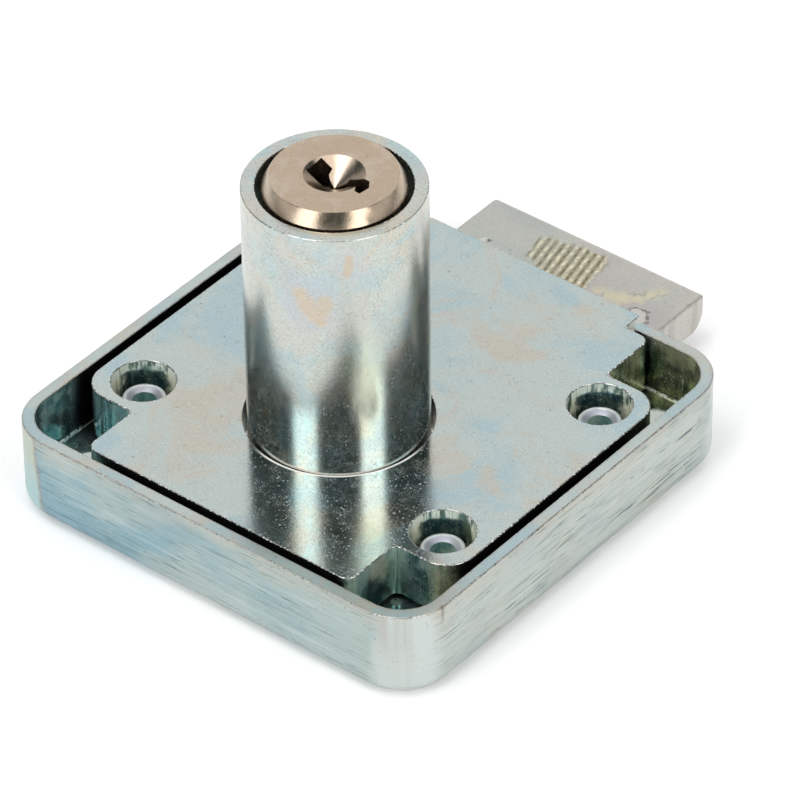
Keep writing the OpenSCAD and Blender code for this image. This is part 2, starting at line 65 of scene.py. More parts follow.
# the plug's barrel, the wafers' groove in the housing and the wafers, which start at WAFER_LOW
BARREL_R, GROOVE_R, GROOVE_HALF = 6.2, 7.2, 2.25
WAFER_LOW, WAFER_PITCH, WAFER_SLOT = 4.5, 2.6, 1.3
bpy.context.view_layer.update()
CASE_LOW, CASE_HIGH = (np.array(c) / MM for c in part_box("case"))
COVER_LOW, COVER_HIGH = (np.array(c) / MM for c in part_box("cover"))
NECK_LOW, NECK_HIGH = (np.array(c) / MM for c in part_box("cylinder_housing"))
PLUG_LOW, PLUG_HIGH = (np.array(c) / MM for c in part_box("plug"))
BOLT_LOW, BOLT_HIGH = (np.array(c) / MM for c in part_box("bolt"))


# sizes and colours


def length(name, description, default):
    """A size in metres whose default is given in millimetres."""
    return FloatProperty(
        name=name, description=description, default=default * MM, min=0.0, unit="LENGTH", precision=5
    )


def colour(name, description, default):
    """A plain linear colour."""
    return FloatVectorProperty(
        name=name, description=description, default=default, size=3, subtype="COLOR", min=0.0, max=1.0
    )


class LOCK_PG_case(bpy.types.PropertyGroup):
    """Sizes of the case that a user would change"""

    corner_r: length("Corner radius", "Outer radius of the four upright corners", 5.5)
    back_r: length("Back rounding", "Rounding of the back edge", 2.0)
    wall: length("Wall", "Thickness of the side walls", 1.3)
    shelf: length("Shelf depth", "From the rim down to the two side shelves", 6.5)
    channel: length("Channel depth", "From the rim down to the floor under the bolt", 8.1)
    channel_w: length("Channel width", "Width of the bolt channel", 27.4)
    mouth_w: length("Mouth width", "Width of the gap in the wall for the bolt", 27.8)
    fillet_r: length("Shelf fillet", "Rounding where the walls meet the shelves", 0.5)
    rim_outer_r: length("Outer rim rounding", "Rounding of the outer rim edge", 0.12)
    rim_inner_r: length("Inner rim rounding", "Rounding of the inner rim edge", 0.08)
    mouth_r: length("Wall end rounding", "Rounding of the wall ends beside the bolt", 0.6)
    wood_x: length("Wood screw offset", "From the middle to the wood screws", 18.75)
    wood_shift: length("Wood screw shift", "From the cylinder axis to the pattern's middle", 4.95)
    wood_l: length("Wood screw spacing", "Spacing of the wood screws along the bolt", 24.7)
    screw_x: length("Cover screw offset", "From the middle to the cover screws", 17.775)
    screw_l: length("Cover screw spacing", "Spacing of the cover screws along the bolt", 10.5)


class LOCK_PG_cover(bpy.types.PropertyGroup):
    """Sizes of the cover that a user would change"""

    plate: length("Plate", "Thickness of the cover plate", 2.0)
    skirt: length("Skirt", "Thickness of the skirt", 1.6)
    notch_x: length("Notch side", "From the middle to the sides of the corner notches", 16.45)
    notch_front: length("Front notch", "From the axis forward to the front notches", 11.8)
    notch_rear: length("Rear notch", "From the axis back to the rear notches", 21.4)
    rear: length("Rear edge", "From the axis to the rear edge beside the tongue", 28.6)
    tongue_w: length("Tongue width", "Width of the tongue over the bolt", 26.7)
    tongue_z: length("Tongue depth", "From the cover face to the underside of the tongue", 3.85)
    boss_r: length("Screw corner radius", "Radius of the corners beside the wood screws", 3.2)
    corner_r: length("End corner radius", "Radius of the corners at both ends", 1.2)
    inner_r: length("Notch radius", "Radius inside the notches", 0.8)
    edge_r: length("Edge rounding", "Rounding of the upper edge", 0.09)
    hole_r: length("Neck hole", "Radius of the hole round the neck", 9.45)
    access_r: length("Access hole", "Radius of the four access holes", 3.25)


class LOCK_PG_neck(bpy.types.PropertyGroup):
    """Sizes of the neck and the plug that a user would change"""

    neck_r: length("Neck radius", "Outer radius of the cylinder neck", 9.0)
    edge_r: length("Neck end rounding", "Rounding of the outer edge of the neck end", 0.12)
    mouth_r: length("Mouth radius", "Radius of the mouth round the plug head", 7.6)
    mouth_h: length("Mouth depth", "Depth of the mouth", 3.25)
    head_r: length("Plug head radius", "Radius of the plug head", 7.075)
    face_r: length("Plug face radius", "Radius of the plug face", 6.25)
    cone_r: length("Cone radius", "Radius of the conical recess", 3.0)
    cone_h: length("Cone depth", "Depth of the conical recess", 1.8)
    steps: IntProperty(name="Steps", description="Steps round the neck", default=192, min=48, max=384)


class LOCK_PG_bolt(bpy.types.PropertyGroup):
    """Sizes of the bolt that a user would change"""

    nose_top_r: length("Upper nose rounding", "Rounding of the upper nose edge", 0.7)
    nose_low_r: length("Lower nose rounding", "Rounding of the lower nose edge", 2.3)
    edge_r: length("Edge rounding", "Rounding of the long edges", 0.16)
    corner_r: length("Nose corner radius", "Radius of the nose corners seen from above", 0.6)
    step: length("Head", "From the cylinder axis to the step behind the head", 18.8)
    tail_t: length("Tail", "Thickness of the tail plate", 1.8)
    crank_r: length("Crank radius", "Radius at which the crank pin turns", 5.5)
    slot_reach: length("Slot half width", "Radius of the crank pin with its play", 1.7)


class LOCK_PG_finish(bpy.types.PropertyGroup):
    """Colours of the finishes"""

    zinc: colour("Zinc", "Plain colour of the zinc plating", (0.52, 0.59, 0.57))
    zinc_blue: colour("Blue bloom", "Blue patches of the plating", (0.41, 0.55, 0.60))
    zinc_tan: colour("Tan bloom", "Tan patches of the plating", (0.57, 0.53, 0.45))
    nickel: colour("Plug", "Warm nickel of the plug", (0.52, 0.41, 0.30))
    steel: colour("Bolt", "Steel of the bolt", (0.55, 0.53, 0.49))
    brass: colour("Wafers", "Brass of the wafers", (0.80, 0.60, 0.28))
    floor: colour("Floor", "Colour of the floor", (0.93, 0.93, 0.93))


# shapes


def fillet_path(corners, radii, inset=0.0, steps=8, least=0.2):
    """Closed outline, counter-clockwise, through corners that are each rounded.

    The whole outline is first drawn in by inset: a corner moves by inset times the sum
    of its two inward normals over one plus their product, an outer radius shrinks by
    inset (to no less than least) and a hollow one grows by it. Point k of a corner is
    its arc's centre minus the inward normal of the incoming edge, turned by k steps'
    share of the corner's turn, times the radius. Returns points and outward normals.
    """
    c = np.asarray(corners, float)
    r = np.broadcast_to(np.asarray(radii, float), (len(c),)).copy()
    along_in = c - np.roll(c, 1, 0)
    along_in /= np.linalg.norm(along_in, axis=1, keepdims=True)
    along_out = np.roll(along_in, -1, 0)
    n_in = np.stack([-along_in[:, 1], along_in[:, 0]], 1)
    n_out = np.roll(n_in, -1, 0)
    c = c + inset * (n_in + n_out) / (1.0 + np.sum(n_in * n_out, 1, keepdims=True))
    cross = along_in[:, 0] * along_out[:, 1] - along_in[:, 1] * along_out[:, 0]
    turn = np.arctan2(cross, np.sum(along_in * along_out, 1))
    side = np.sign(turn)
    r = np.where(side > 0, np.maximum(r - inset, np.minimum(r, least)), r + inset)
    start = c - along_in * (r * np.tan(np.abs(turn) / 2))[:, None]
    centre = start + n_in * (side * r)[:, None]
    a = np.linspace(0.0, 1.0, steps + 1)[None, :] * turn[:, None]
    ca, sa = np.cos(a), np.sin(a)
    nx = n_in[:, :1] * ca - n_in[:, 1:] * sa
    ny = n_in[:, :1] * sa + n_in[:, 1:] * ca
    inward = np.stack([nx, ny], 2)
    points = centre[:, None, :] - inward * (side * r)[:, None, None]
    return points.reshape(-1, 2), -inward.reshape(-1, 2)


def quarter(cx, cz, r, a0, a1, steps=6):
    """Arc of radius r about (cx, cz) from angle a0 to a1, in degrees, as (steps + 1, 2) points."""
    a = np.radians(np.linspace(a0, a1, steps + 1))
    return np.stack([cx + r * np.cos(a), cz + r * np.sin(a)], 1)


def bow_tie(r, half, steps):
    """Outline of the part of a disc of radius r within half of the x axis, with straight long sides."""
    a = math.degrees(math.asin(half / r))
    return np.vstack([quarter(0, 0, r, -a, a, steps), quarter(0, 0, r, 180 - a, 180 + a, steps)])


def grid_faces(rows, cols, wrap_rows=False):
    """Quads of a grid whose columns close on themselves, and whose rows may do so too."""
    i = np.arange(rows if wrap_rows else rows - 1)[:, None]
    j = np.arange(cols)[None, :]
    i2, j2 = (i + 1) % rows, (j + 1) % cols
    return np.stack([i * cols + j, i * cols + j2, i2 * cols + j2, i2 * cols + j], 2).reshape(-1, 4)


def carry(rings, heights, axis="z"):
    """Profile carried round an outline.

    rings is (rows, n, 2), the outline drawn for each point of the profile, and heights
    the third coordinate, one for each row. The first ring is closed by a face that
    looks back along the axis, and the last by one that looks along it.
    """
    rows, n, _ = rings.shape
    h = np.broadcast_to(np.asarray(heights, float).reshape(rows, -1), (rows, n))
    a, b = rings[..., 0], rings[..., 1]
    order = {"z": (a, b, h), "x": (h, a, b)}[axis]
    verts = np.stack(order, 2).reshape(-1, 3)
    faces = grid_faces(rows, n).tolist()
    faces.append(np.arange(n)[::-1].tolist())
    faces.append((np.arange(n) + (rows - 1) * n).tolist())
    return verts, faces


def slab(corners, radii, section, steps=8, least=0.2):
    """Outline drawn in by section[i, 0] at the height section[i, 1], for each i in turn."""
    rings = np.stack([fillet_path(corners, radii, d, steps, least)[0] for d in section[:, 0]])
    return carry(rings, section[:, 1])


def prism(outline, low, high):
    """Outline carried straight up from low to high."""
    ring = np.asarray(outline, float)
    return carry(np.stack([ring, ring]), [low, high])


def block(x0, x1, y0, y1, z0, z1):
    """Box as a prism of four corners."""
    return prism([[x0, y0], [x1, y0], [x1, y1], [x0, y1]], z0, z1)


def rod(r, low, high):
    """Profile of a plain upright cylinder, for spin."""
    return [(0, low), (r, low), (r, high), (0, high)]


def spin(profile, steps, place=(0.0, 0.0), ring=False):
    """Profile of (radius, height) points turned about an upright axis.

    Point (i, j) is radius i times the cosine and sine of step j's angle. A ring's
    profile closes on itself. Any other starts and ends on the axis, where each pole is
    one vertex that closes the surface with a fan.
    """
    p = np.asarray(profile, float)
    a = np.linspace(0.0, 2 * np.pi, steps, endpoint=False)
    body = p if ring else p[1:-1]
    x = place[0] + body[:, :1] * np.cos(a)
    y = place[1] + body[:, :1] * np.sin(a)
    z = np.broadcast_to(body[:, 1:], x.shape)
    verts = np.stack([x, y, z], 2).reshape(-1, 3)
    faces = grid_faces(len(body), steps, ring).tolist()
    if not ring:
        low, high = len(verts), len(verts) + 1
        verts = np.vstack([verts, [[place[0], place[1], p[0, 1]], [place[0], place[1], p[-1, 1]]]])
        j = np.arange(steps)
        j2 = (j + 1) % steps
        top = (len(body) - 1) * steps
        faces += np.stack([j2, j, np.full(steps, low)], 1).tolist()
        faces += np.stack([top + j, top + j2, np.full(steps, high)], 1).tolist()
    return verts, faces


def gather(*shells):
    """Several shells as one list of vertices and faces."""
    verts, faces, base = [], [], 0
    for v, f in shells:
        verts.append(v)
        faces += [[k + base for k in face] for face in f]
        base += len(v)
    return np.vstack(verts), faces


def mesh_object(name, shell):
    """A mesh object at the origin from vertices in millimetres."""
    verts, faces = shell
    mesh = bpy.data.meshes.new(name)
    mesh.from_pydata((np.asarray(verts) * MM).tolist(), [], faces)
    mesh.validate()
    obj = bpy.data.objects.new(name, mesh)
    bpy.context.scene.collection.objects.link(obj)
    return obj


def combine(obj, operation, *shells):
    """Joins or cuts obj with some shells, and keeps the result as its plain mesh."""
    tool = mesh_object(obj.name + "_tool", gather(*shells))
    step = obj.modifiers.new("combine", "BOOLEAN")
    step.operation, step.object, step.solver = operation, tool, "EXACT"
    shape = obj.evaluated_get(bpy.context.evaluated_depsgraph_get())
    before, after = obj.data, bpy.data.meshes.new_from_object(shape)
    if not len(after.polygons):
        raise RuntimeError(f"{obj.name}: {operation} left nothing")
    obj.modifiers.clear()
    obj.data = after
    bpy.data.meshes.remove(before)
    bpy.data.objects.remove(tool)


def settle(obj, angle=32.0):
    """Shades obj smooth but for its sharp edges, with the flat faces kept flat."""
    mesh = obj.data
    mesh.name = obj.name
    mesh.polygons.foreach_set("use_smooth", np.ones(len(mesh.polygons), bool))
    mesh.set_sharp_from_angle(angle=math.radians(angle))
    even = obj.modifiers.new("even_normals", "WEIGHTED_NORMAL")
    even.mode, even.weight, even.keep_sharp = "FACE_AREA", 80, True
    return obj


def screw_places(x, shift, spacing):
    """The four places of a screw pattern, as rows of x and y."""
    return [(sx * x, shift + sy * spacing / 2) for sx in (-1, 1) for sy in (-1, 1)]


def mm(group, *names):
    """The named sizes of a property group, in millimetres."""
    return [getattr(group, n) / MM for n in names]


def body_with(node):
    """The name of the body that a CAD node belongs to."""
    for body, nodes in frame["record"]["behaviour"]["bodies"].items():
        if node in nodes:
            return body
    raise RuntimeError(f"{node} is in no body")


def stand_for(obj, node):
    """The new piece takes the place and the body of a CAD node, whose own piece is hidden."""
    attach(obj, body_with(node))
    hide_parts(node)
    return obj


# materials


class Value:
    """A node's output with the signs of arithmetic, each of which adds a node."""

    # numpy's numbers leave the arithmetic to this class
    __array_ufunc__ = None

    def __init__(self, nodes, socket):
        self.nodes, self.socket = nodes, socket

    def __add__(self, other):
        return self.nodes.math("ADD", self, other)

    def __sub__(self, other):
        return self.nodes.math("SUBTRACT", self, other)

    def __rsub__(self, other):
        return self.nodes.math("SUBTRACT", other, self)

    def __mul__(self, other):
        return self.nodes.math("MULTIPLY", self, other)

    def __neg__(self):
        return self * -1

    def __abs__(self):
        return self.nodes.math("ABSOLUTE", self)

    __radd__, __rmul__ = __add__, __mul__

    def ramp(self, low, high, out_low=0.0, out_high=1.0):
        """Smooth step from out_low, where the value is low, to out_high, where it is high."""
        return self.nodes.out(
            "ShaderNodeMapRange", "Result",
            {"Value": self, "From Min": low, "From Max": high, "To Min": out_low, "To Max": out_high},
            interpolation_type="SMOOTHSTEP",
        )

    def ramp_mm(self, low, high, out_low=0.0, out_high=1.0):
        """The same with low and high in millimetres."""
        return self.ramp(low * MM, high * MM, out_low, out_high)


class Nodes:
    """Adds nodes to one tree. Its place is the vector at which patterns are drawn."""

    def __init__(self, tree):
        self.tree, self.place = tree, None

    def put(self, socket, value):
        """Joins a value to an input, or sets the input to a number, a vector or a plain colour."""
        if isinstance(value, Value):
            self.tree.links.new(value.socket, socket)
        else:
            socket.default_value = (*value[:3], 1) if socket.type == "RGBA" else value

    def add(self, kind, inputs=None, **settings):
        node = self.tree.nodes.new(kind)
        for key, value in settings.items():
            setattr(node, key, value)
        for key, value in (inputs or {}).items():
            self.put(node.inputs[key], value)
        return node

    def out(self, kind, key, inputs=None, **settings):
        """One output of a new node."""
        return Value(self, self.add(kind, inputs, **settings).outputs[key])

    def named(self, node):
        """All outputs of a node by their names."""
        return {socket.name: Value(self, socket) for socket in node.outputs}

    def math(self, operation, a, b=0.0):
        return self.out("ShaderNodeMath", 0, {0: a, 1: b}, operation=operation)

    def most(self, *values):
        return reduce(lambda a, b: self.math("MAXIMUM", a, b), values)

    def least(self, *values):
        return reduce(lambda a, b: self.math("MINIMUM", a, b), values)

    def reach(self, x, y):
        """Square root of x squared plus y squared."""
        return self.math("SQRT", x * x + y * y)

    def mix(self, share, a, b):
        return self.out("ShaderNodeMix", 2, {0: share, 6: a, 7: b}, data_type="RGBA")

    def axes(self, vector):
        return list(self.named(self.add("ShaderNodeSeparateXYZ", {0: vector})).values())

    def moved(self, stretch, shift=(0.0, 0.0, 0.0), turn=0.0):
        """The place with each axis times its own stretch, turned about z and then shifted."""
        return self.out("ShaderNodeMapping", 0, {"Vector": self.place, "Scale": stretch, "Location": shift,
                                                 "Rotation": (0, 0, turn)})

    def noise(self, scale, detail=2.0, rough=0.5, bend=0.0, at=()):
        """Noise of a size, from 0 to 1. With at, the place is first moved as at says."""
        place = self.moved(*at) if at else self.place
        return self.out("ShaderNodeTexNoise", "Fac", {"Vector": place, "Scale": scale, "Detail": detail,
                                                      "Roughness": rough, "Distortion": bend})

    def wander(self, size, *noise):
        """Noise as an uneven distance, half of size in millimetres to either side of zero."""
        return (self.noise(*noise) - 0.5) * (size * MM)

    def use(self, name, **inputs):
        """The outputs of a shared effect that is placed with its own values."""
        node = self.add("ShaderNodeGroup", {"Vector": self.place, **inputs}, node_tree=group_of(name))
        return self.named(node)


FLOAT, VECTOR, COLOUR = "NodeSocketFloat", "NodeSocketVector", "NodeSocketColor"
EFFECTS = {}
EVEN = (1, 1, 1)


def effect(name, inputs, *outputs):
    """Keeps a function that draws a shared effect, with its inputs and outputs.

    An input is given as the kind of its socket or as its starting number.
    """

    def keep(draw):
        EFFECTS[name] = draw, inputs, outputs
        return draw

    return keep


def group_of(name):
    """The node group of an effect, made the first time that it is asked for."""
    tree = bpy.data.node_groups.get(name)
    if tree is None:
        draw, inputs, outputs = EFFECTS[name]
        tree = bpy.data.node_groups.new(name, "ShaderNodeTree")
        for key, start in inputs.items():
            number = isinstance(start, float)
            socket = tree.interface.new_socket(key, in_out="INPUT", socket_type=FLOAT if number else start)
            if number:
                socket.default_value = start
        for key in outputs:
            tree.interface.new_socket(key, in_out="OUTPUT", socket_type=COLOUR if key == "Color" else FLOAT)
        n = Nodes(tree)
        given = n.named(n.add("NodeGroupInput"))
        n.place = given["Vector"]
        n.add("NodeGroupOutput", draw(n, given))
    return tree


@effect("plating_bloom", {"Vector": VECTOR, "Plain": COLOUR, "Blue": COLOUR, "Tan": COLOUR, "Size": 120.0,
                          "Amount": 0.6, "Fine": 5000.0, "Grain": 0.3}, "Color", "Mask")
def draw_bloom(n, i):
    """Soft patches of three colours, as thin plating shows, under a fine two-tone grain.

    Two wide noises choose between the colours. A fine noise darkens the colour where it
    is high and pales it where it is low.
    """
    wide = n.noise(i["Size"], 5, 0.62, 0.6)
    other = n.noise(i["Size"], 5, 0.66, 1, (EVEN, (0.31, 0.17, 0.53)))
    fine = n.noise(i["Fine"], 3, 0.75)
    c = n.mix(wide.ramp(0.46, 0.62) * i["Amount"], i["Plain"], i["Blue"])
    c = n.mix(other.ramp(0.5, 0.66) * i["Amount"], c, i["Tan"])
    c = n.mix(fine.ramp(0.5, 0.7) * i["Grain"], c, (0.2, 0.16, 0.13))
    c = n.mix(fine.ramp(0.5, 0.3) * i["Grain"], c, (0.86, 0.92, 0.92))
    return {"Color": c, "Mask": wide}


@effect("cast_speckle", {"Vector": VECTOR, "Size": 2600.0, "Pits": 0.5, "Points": 0.5},
        "Pit", "Point", "Height")
def draw_speckle(n, i):
    """Cast grain: small dark pits, small bright points and a fine height, from three noises."""
    fine = n.noise(i["Size"], 2, 0.6)
    coarse = n.noise(i["Size"] * 0.16)
    tiny = n.noise(i["Size"] * 1.9, 1, at=(EVEN, (0.7, 0.2, 0.4)))
    pit = fine.ramp(0.34, 0.26) * coarse.ramp(0.38, 0.62) * i["Pits"]
    point = tiny.ramp(0.64, 0.7) * coarse.ramp(0.64, 0.44) * i["Points"]
    return {"Pit": pit, "Point": point, "Height": fine - pit * 2}


@effect("brush_lines", {"Vector": VECTOR, "Amount": 0.5}, "Line", "Band", "Height")
def draw_brushed(n, i):
    """Long fine scratches: noises stretched in the level directions, dark where low or at their middle."""
    long_noise = n.noise(1, 1, at=((80, 80, 3700),))
    short_noise = n.noise(1, 1, at=((210, 210, 5400), (3, 1, 7)))
    broad = n.noise(1, 4, 0.7, at=((45, 45, 1500),))
    gate = n.noise(1, at=((120, 120, 500),)).ramp(0.38, 0.6)
    either = n.most(abs(long_noise - 0.5).ramp(0.022, 0.004), short_noise.ramp(0.38, 0.3))
    line = either * (gate * 0.75 + 0.25) * i["Amount"]
    return {"Line": line, "Band": broad, "Height": broad + line * -0.5}


@effect("hair_lines", {"Vector": VECTOR, "Size": 700.0, "Thin": 0.02}, "Line")
def draw_hair_lines(n, i):
    """Thin curling lines: where a bent noise passes through its middle value."""
    bent = n.noise(i["Size"], 3, 0.6, 1.6)
    gate = n.noise(i["Size"] * 0.5).ramp(0.42, 0.56)
    return {"Line": abs(bent - 0.5).ramp(i["Thin"], 0) * gate}


@effect("box_depth", {"Vector": VECTOR, "Centre": VECTOR, "Half": VECTOR, "Radius": 0.001},
        "Depth", "Corner")
def draw_box_depth(n, i):
    """Depth inside an upright block with rounded corners, seen in plan.

    With q the distance from the centre less half the size plus the radius, it is the
    radius less the length of q's positive part, less the greater of q's parts where
    both are negative.
    """
    offset = n.out("ShaderNodeVectorMath", 0, {0: i["Vector"], 1: i["Centre"]}, operation="SUBTRACT")
    px, py, _ = n.axes(offset)
    hx, hy, _ = n.axes(i["Half"])
    qx = abs(px) - hx + i["Radius"]
    qy = abs(py) - hy + i["Radius"]
    outside = n.reach(n.most(qx, 0), n.most(qy, 0))
    inside = n.least(n.most(qx, qy), 0)
    return {"Depth": i["Radius"] - (outside + inside), "Corner": n.least(qx, qy)}


@effect("edge_wear", {"Vector": VECTOR, "Edge": 0.0, "Width": 0.0003}, "Tan", "Nick", "Chip")
def draw_edge_wear(n, i):
    """Wear along an edge, from the distance to it: a ragged tan line, white nicks and dark chips."""
    width = i["Width"]
    ragged = i["Edge"] + (n.noise(900, 4, 0.7) - 0.5) * 1.6 * width
    fine = n.noise(4300, 2, 0.7)
    near = ragged.ramp(width * 1.2, width * 0.3)
    return {"Tan": ragged.ramp(width, width * 0.2), "Nick": fine.ramp(0.56, 0.65) * near,
            "Chip": fine.ramp(0.42, 0.34) * near}


@effect("wall_streaks", {"Vector": VECTOR, "Fine": 1500.0}, "Light", "Dark", "Height")
def draw_streaks(n, i):
    """Upright streaks of a drawn or moulded wall, and painted reflection streaks in the pockets and holes: a
    noise stretched along the height.
    """
    s = n.noise(i["Fine"], 3, 0.7, at=((1, 1, 0.06),))
    return {"Light": s.ramp(0.56, 0.68), "Dark": s.ramp(0.46, 0.34), "Height": s}


@effect("ragged_spot", {"Vector": VECTOR, "Place": VECTOR, "Radius": 0.001, "Soft": 0.3}, "Mask")
def draw_spot(n, i):
    """A soft ragged patch about a place: its distance, made uneven by a noise, against a radius."""
    radius, soft = i["Radius"], i["Soft"]
    away = n.out("ShaderNodeVectorMath", "Value", {0: i["Vector"], 1: i["Place"]}, operation="DISTANCE")
    uneven = (n.noise(900, 4, 0.6) - 0.5) * radius * 1.2
    return {"Mask": (away + uneven).ramp(radius * (1 + soft), radius * (1 - soft))}


WHITE, BLACK = (0.92, 0.95, 0.95), (0.03, 0.04, 0.04)


class Finish(Nodes):
    """One material with a Principled shader, and the colour that has been laid on it so far."""

    def __init__(self, name, metallic=1.0):
        self.material = bpy.data.materials.new(name)
        self.material.use_nodes = True
        super().__init__(self.material.node_tree)
        self.tree.nodes.clear()
        self.shader = self.add("ShaderNodeBsdfPrincipled", {"Metallic": metallic})
        surface = Value(self, self.shader.outputs[0])
        self.add("ShaderNodeOutputMaterial", {"Surface": surface}).is_active_output = True
        self.place = self.out("ShaderNodeTexCoord", "Object")
        self.colour = None

    def set(self, **inputs):
        """Joins or sets inputs of the shader, whose names have _ for a space here."""
        for key, value in inputs.items():
            self.put(self.shader.inputs[key.replace("_", " ")], value)

    def lay(self, share, colour):
        """Lays a colour over the one that is there, as far as share says."""
        self.colour = self.mix(share, self.colour, colour)

    def bloom(self, plain, blue, tan, size, amount, fine, grain):
        """Starts with the patches of the plating, and gives the mask that roughness follows."""
        b = self.use("plating_bloom", Plain=plain, Blue=blue, Tan=tan, Size=size, Amount=amount, Fine=fine,
                     Grain=grain)
        self.colour = b["Color"]
        return b["Mask"]

    def speckle(self, size, pits, points):
        return self.use("cast_speckle", Size=size, Pits=pits, Points=points)

    def hair(self, size, thin, at=None):
        return self.use("hair_lines", Vector=at or self.place, Size=size, Thin=thin)["Line"]

    def spots(self, marks, soft, at=None):
        """Ragged spots. Each mark is a place and a radius, in millimetres."""
        return self.most(*[
            self.use("ragged_spot", Vector=at or self.place, Place=[v * MM for v in place], Radius=r * MM,
                     Soft=soft)["Mask"] for *place, r in marks])

    def worn(self, speckle, edge, width, dull, tan=0.5, tan_colour=(0.36, 0.30, 0.25), nicks=1.0):
        """Edge wear, pits and bright points over the colour. Gives Metallic, which falls where dull."""
        e = self.use("edge_wear", Edge=edge, Width=width * MM)
        nick = e["Nick"] * nicks
        self.lay(e["Tan"] * tan, tan_colour)
        self.lay(speckle["Pit"], BLACK)
        self.lay(e["Chip"] * 0.8, BLACK)
        self.lay(speckle["Point"], (0.5, 0.56, 0.55))
        self.lay(nick, WHITE)
        return 1 - self.most(speckle["Point"], nick, dull * 0.5)

    def done(self, metallic, rough, height, strength, distance):
        """Joins the colour and the rest to the shader, with a bump whose distance is in millimetres."""
        relief = {"Height": height, "Strength": strength, "Distance": distance * MM}
        bump = self.out("ShaderNodeBump", 0, relief)
        self.set(Base_Color=self.colour, Metallic=metallic, Roughness=rough, Normal=bump)
        return self.material


def past_screw(x, y, case):
    """Distances along x and y from the nearest wood screw, positive outwards."""
    return abs(x) - case.wood_x, abs(y - case.wood_shift) - case.wood_l / 2


def ahead_of(x, y):
    """How far a place lies towards the camera, seen from above."""
    return x * math.sin(CAMERA_TURN) - y * math.cos(CAMERA_TURN)


def case_finish(finish, case):
    """Plating of the case: bluish long sides with dark brush lines, paler corners, tan worn edges."""
    n = Finish("zinc_case")
    x, y, z = n.axes(n.place)
    low = -z
    plan = n.use("box_depth", Centre=tuple((CASE_LOW + CASE_HIGH) / 2 * MM),
                 Half=tuple((CASE_HIGH - CASE_LOW) / 2 * MM), Radius=case.corner_r)
    depth = plan["Depth"]
    edge = n.least(n.most(depth, low), n.most(case.wall - depth, low))
    ragged = n.noise(900, 3, 0.6) - 0.5
    # where the flat sides end and the rounded corners start, seen from the side
    cut = plan["Corner"] + low * 0.09 + ragged * (0.7 * MM)
    soft = cut + n.wander(3, 320, 3)
    side = low.ramp_mm(0.02, 0.15)
    left = x.ramp_mm(1, -1) * y.ramp_mm(6, 4)
    strip = left * side * cut.ramp_mm(1.05, 1.25)
    corner = side * (1 - left) * soft.ramp_mm(0.5, 2.8)
    long_side = y.ramp_mm(CASE_LOW[1] + 4, CASE_LOW[1] + 0.4) * side
    right_side = x.ramp_mm(CASE_HIGH[0] - 4, CASE_HIGH[0] - 0.4) * side
    mask = n.bloom(finish.zinc, finish.zinc_blue, finish.zinc_tan, 110, 0.7, 5200, 0.2)
    patch = n.noise(70, 4, 0.55, at=((1, 1, 1.6),)) + (x + 11 * MM) * 8
    n.lay(long_side * 0.85, n.mix(patch.ramp(0.34, 0.62), (0.2, 0.36, 0.43), (0.41, 0.49, 0.47)))
    n.lay(right_side * 0.6, (0.5, 0.53, 0.48))
    cloud = n.wander(4.5, 240, 4, 0.6)
    n.lay((low + cloud).ramp_mm(2.4, 0.3) * side * 0.5, (0.52, 0.5, 0.43))
    n.lay(corner * 0.8, (0.61, 0.66, 0.64))
    aqua = (low + ragged * (4 * MM)).ramp_mm(2, 6.5)
    n.lay(strip * 0.8, n.mix(aqua, (0.55, 0.59, 0.48), (0.45, 0.6, 0.6)))
    n.lay(abs(cut - 1.1 * MM).ramp_mm(0.5, 0.1) * left * side * 0.5, (0.36, 0.3, 0.25))
    run = n.use("wall_streaks", Fine=330)["Dark"]
    n.lay(run * corner * low.ramp_mm(0, 6, 0.55, 0.15), (0.34, 0.29, 0.26))
    smudge = n.noise(260, 3, 0.6, at=((1, 1, 0.12), (0.2, 0.6, 0))).ramp(0.5, 0.66)
    n.lay(smudge * corner * low.ramp_mm(0.3, 7, 0.55, 0.1), (0.42, 0.36, 0.32))
    plain_side = side * (1 - n.most(corner, strip) * 0.9)
    brushed = n.use("brush_lines", Amount=plain_side)
    n.lay(brushed["Band"].ramp(0.52, 0.7) * plain_side * 0.28, (0.74, 0.79, 0.77))
    n.lay(brushed["Band"].ramp(0.48, 0.3) * plain_side * 0.28, (0.24, 0.31, 0.33))
    n.lay(brushed["Line"] * (right_side * 0.18 + 0.68), (0.12, 0.17, 0.18))
    scar = abs(y + 16.18 * MM + ragged * (0.6 * MM)).ramp_mm(0.34, 0.06)
    n.lay(scar * x.ramp_mm(25.3, 25.6) * low.ramp_mm(2.6, 0.4) * 0.65, (0.2, 0.16, 0.13))
    post = depth.ramp_mm(2.6, 3.4) * low.ramp_mm(1.6, 1.8) * low.ramp_mm(3, 2.6)
    n.lay(post, n.mix(low.ramp_mm(2.12, 1.98), (0.4, 0.41, 0.46), (0.74, 0.76, 0.76)))
    end = right_side * (y + low * -0.5).ramp_mm(24, 31)
    rough_end = n.noise(1500, 3, 0.7, at=((0.5, 0.5, 1),)).ramp(0.56, 0.64)
    n.lay(end * rough_end * 0.8, (0.06, 0.12, 0.12))
    s = n.speckle(2600, 0.5, 0.4)
    metallic = n.worn(s, edge, 0.26, post * 0.9, tan_colour=(0.4, 0.33, 0.27), nicks=0.4)
    rough = mask.ramp(0.3, 0.7, 0.3, 0.42)
    height = s["Height"] + brushed["Height"] * side * 1.5
    return n.done(metallic, rough, height, 0.35, 0.02)


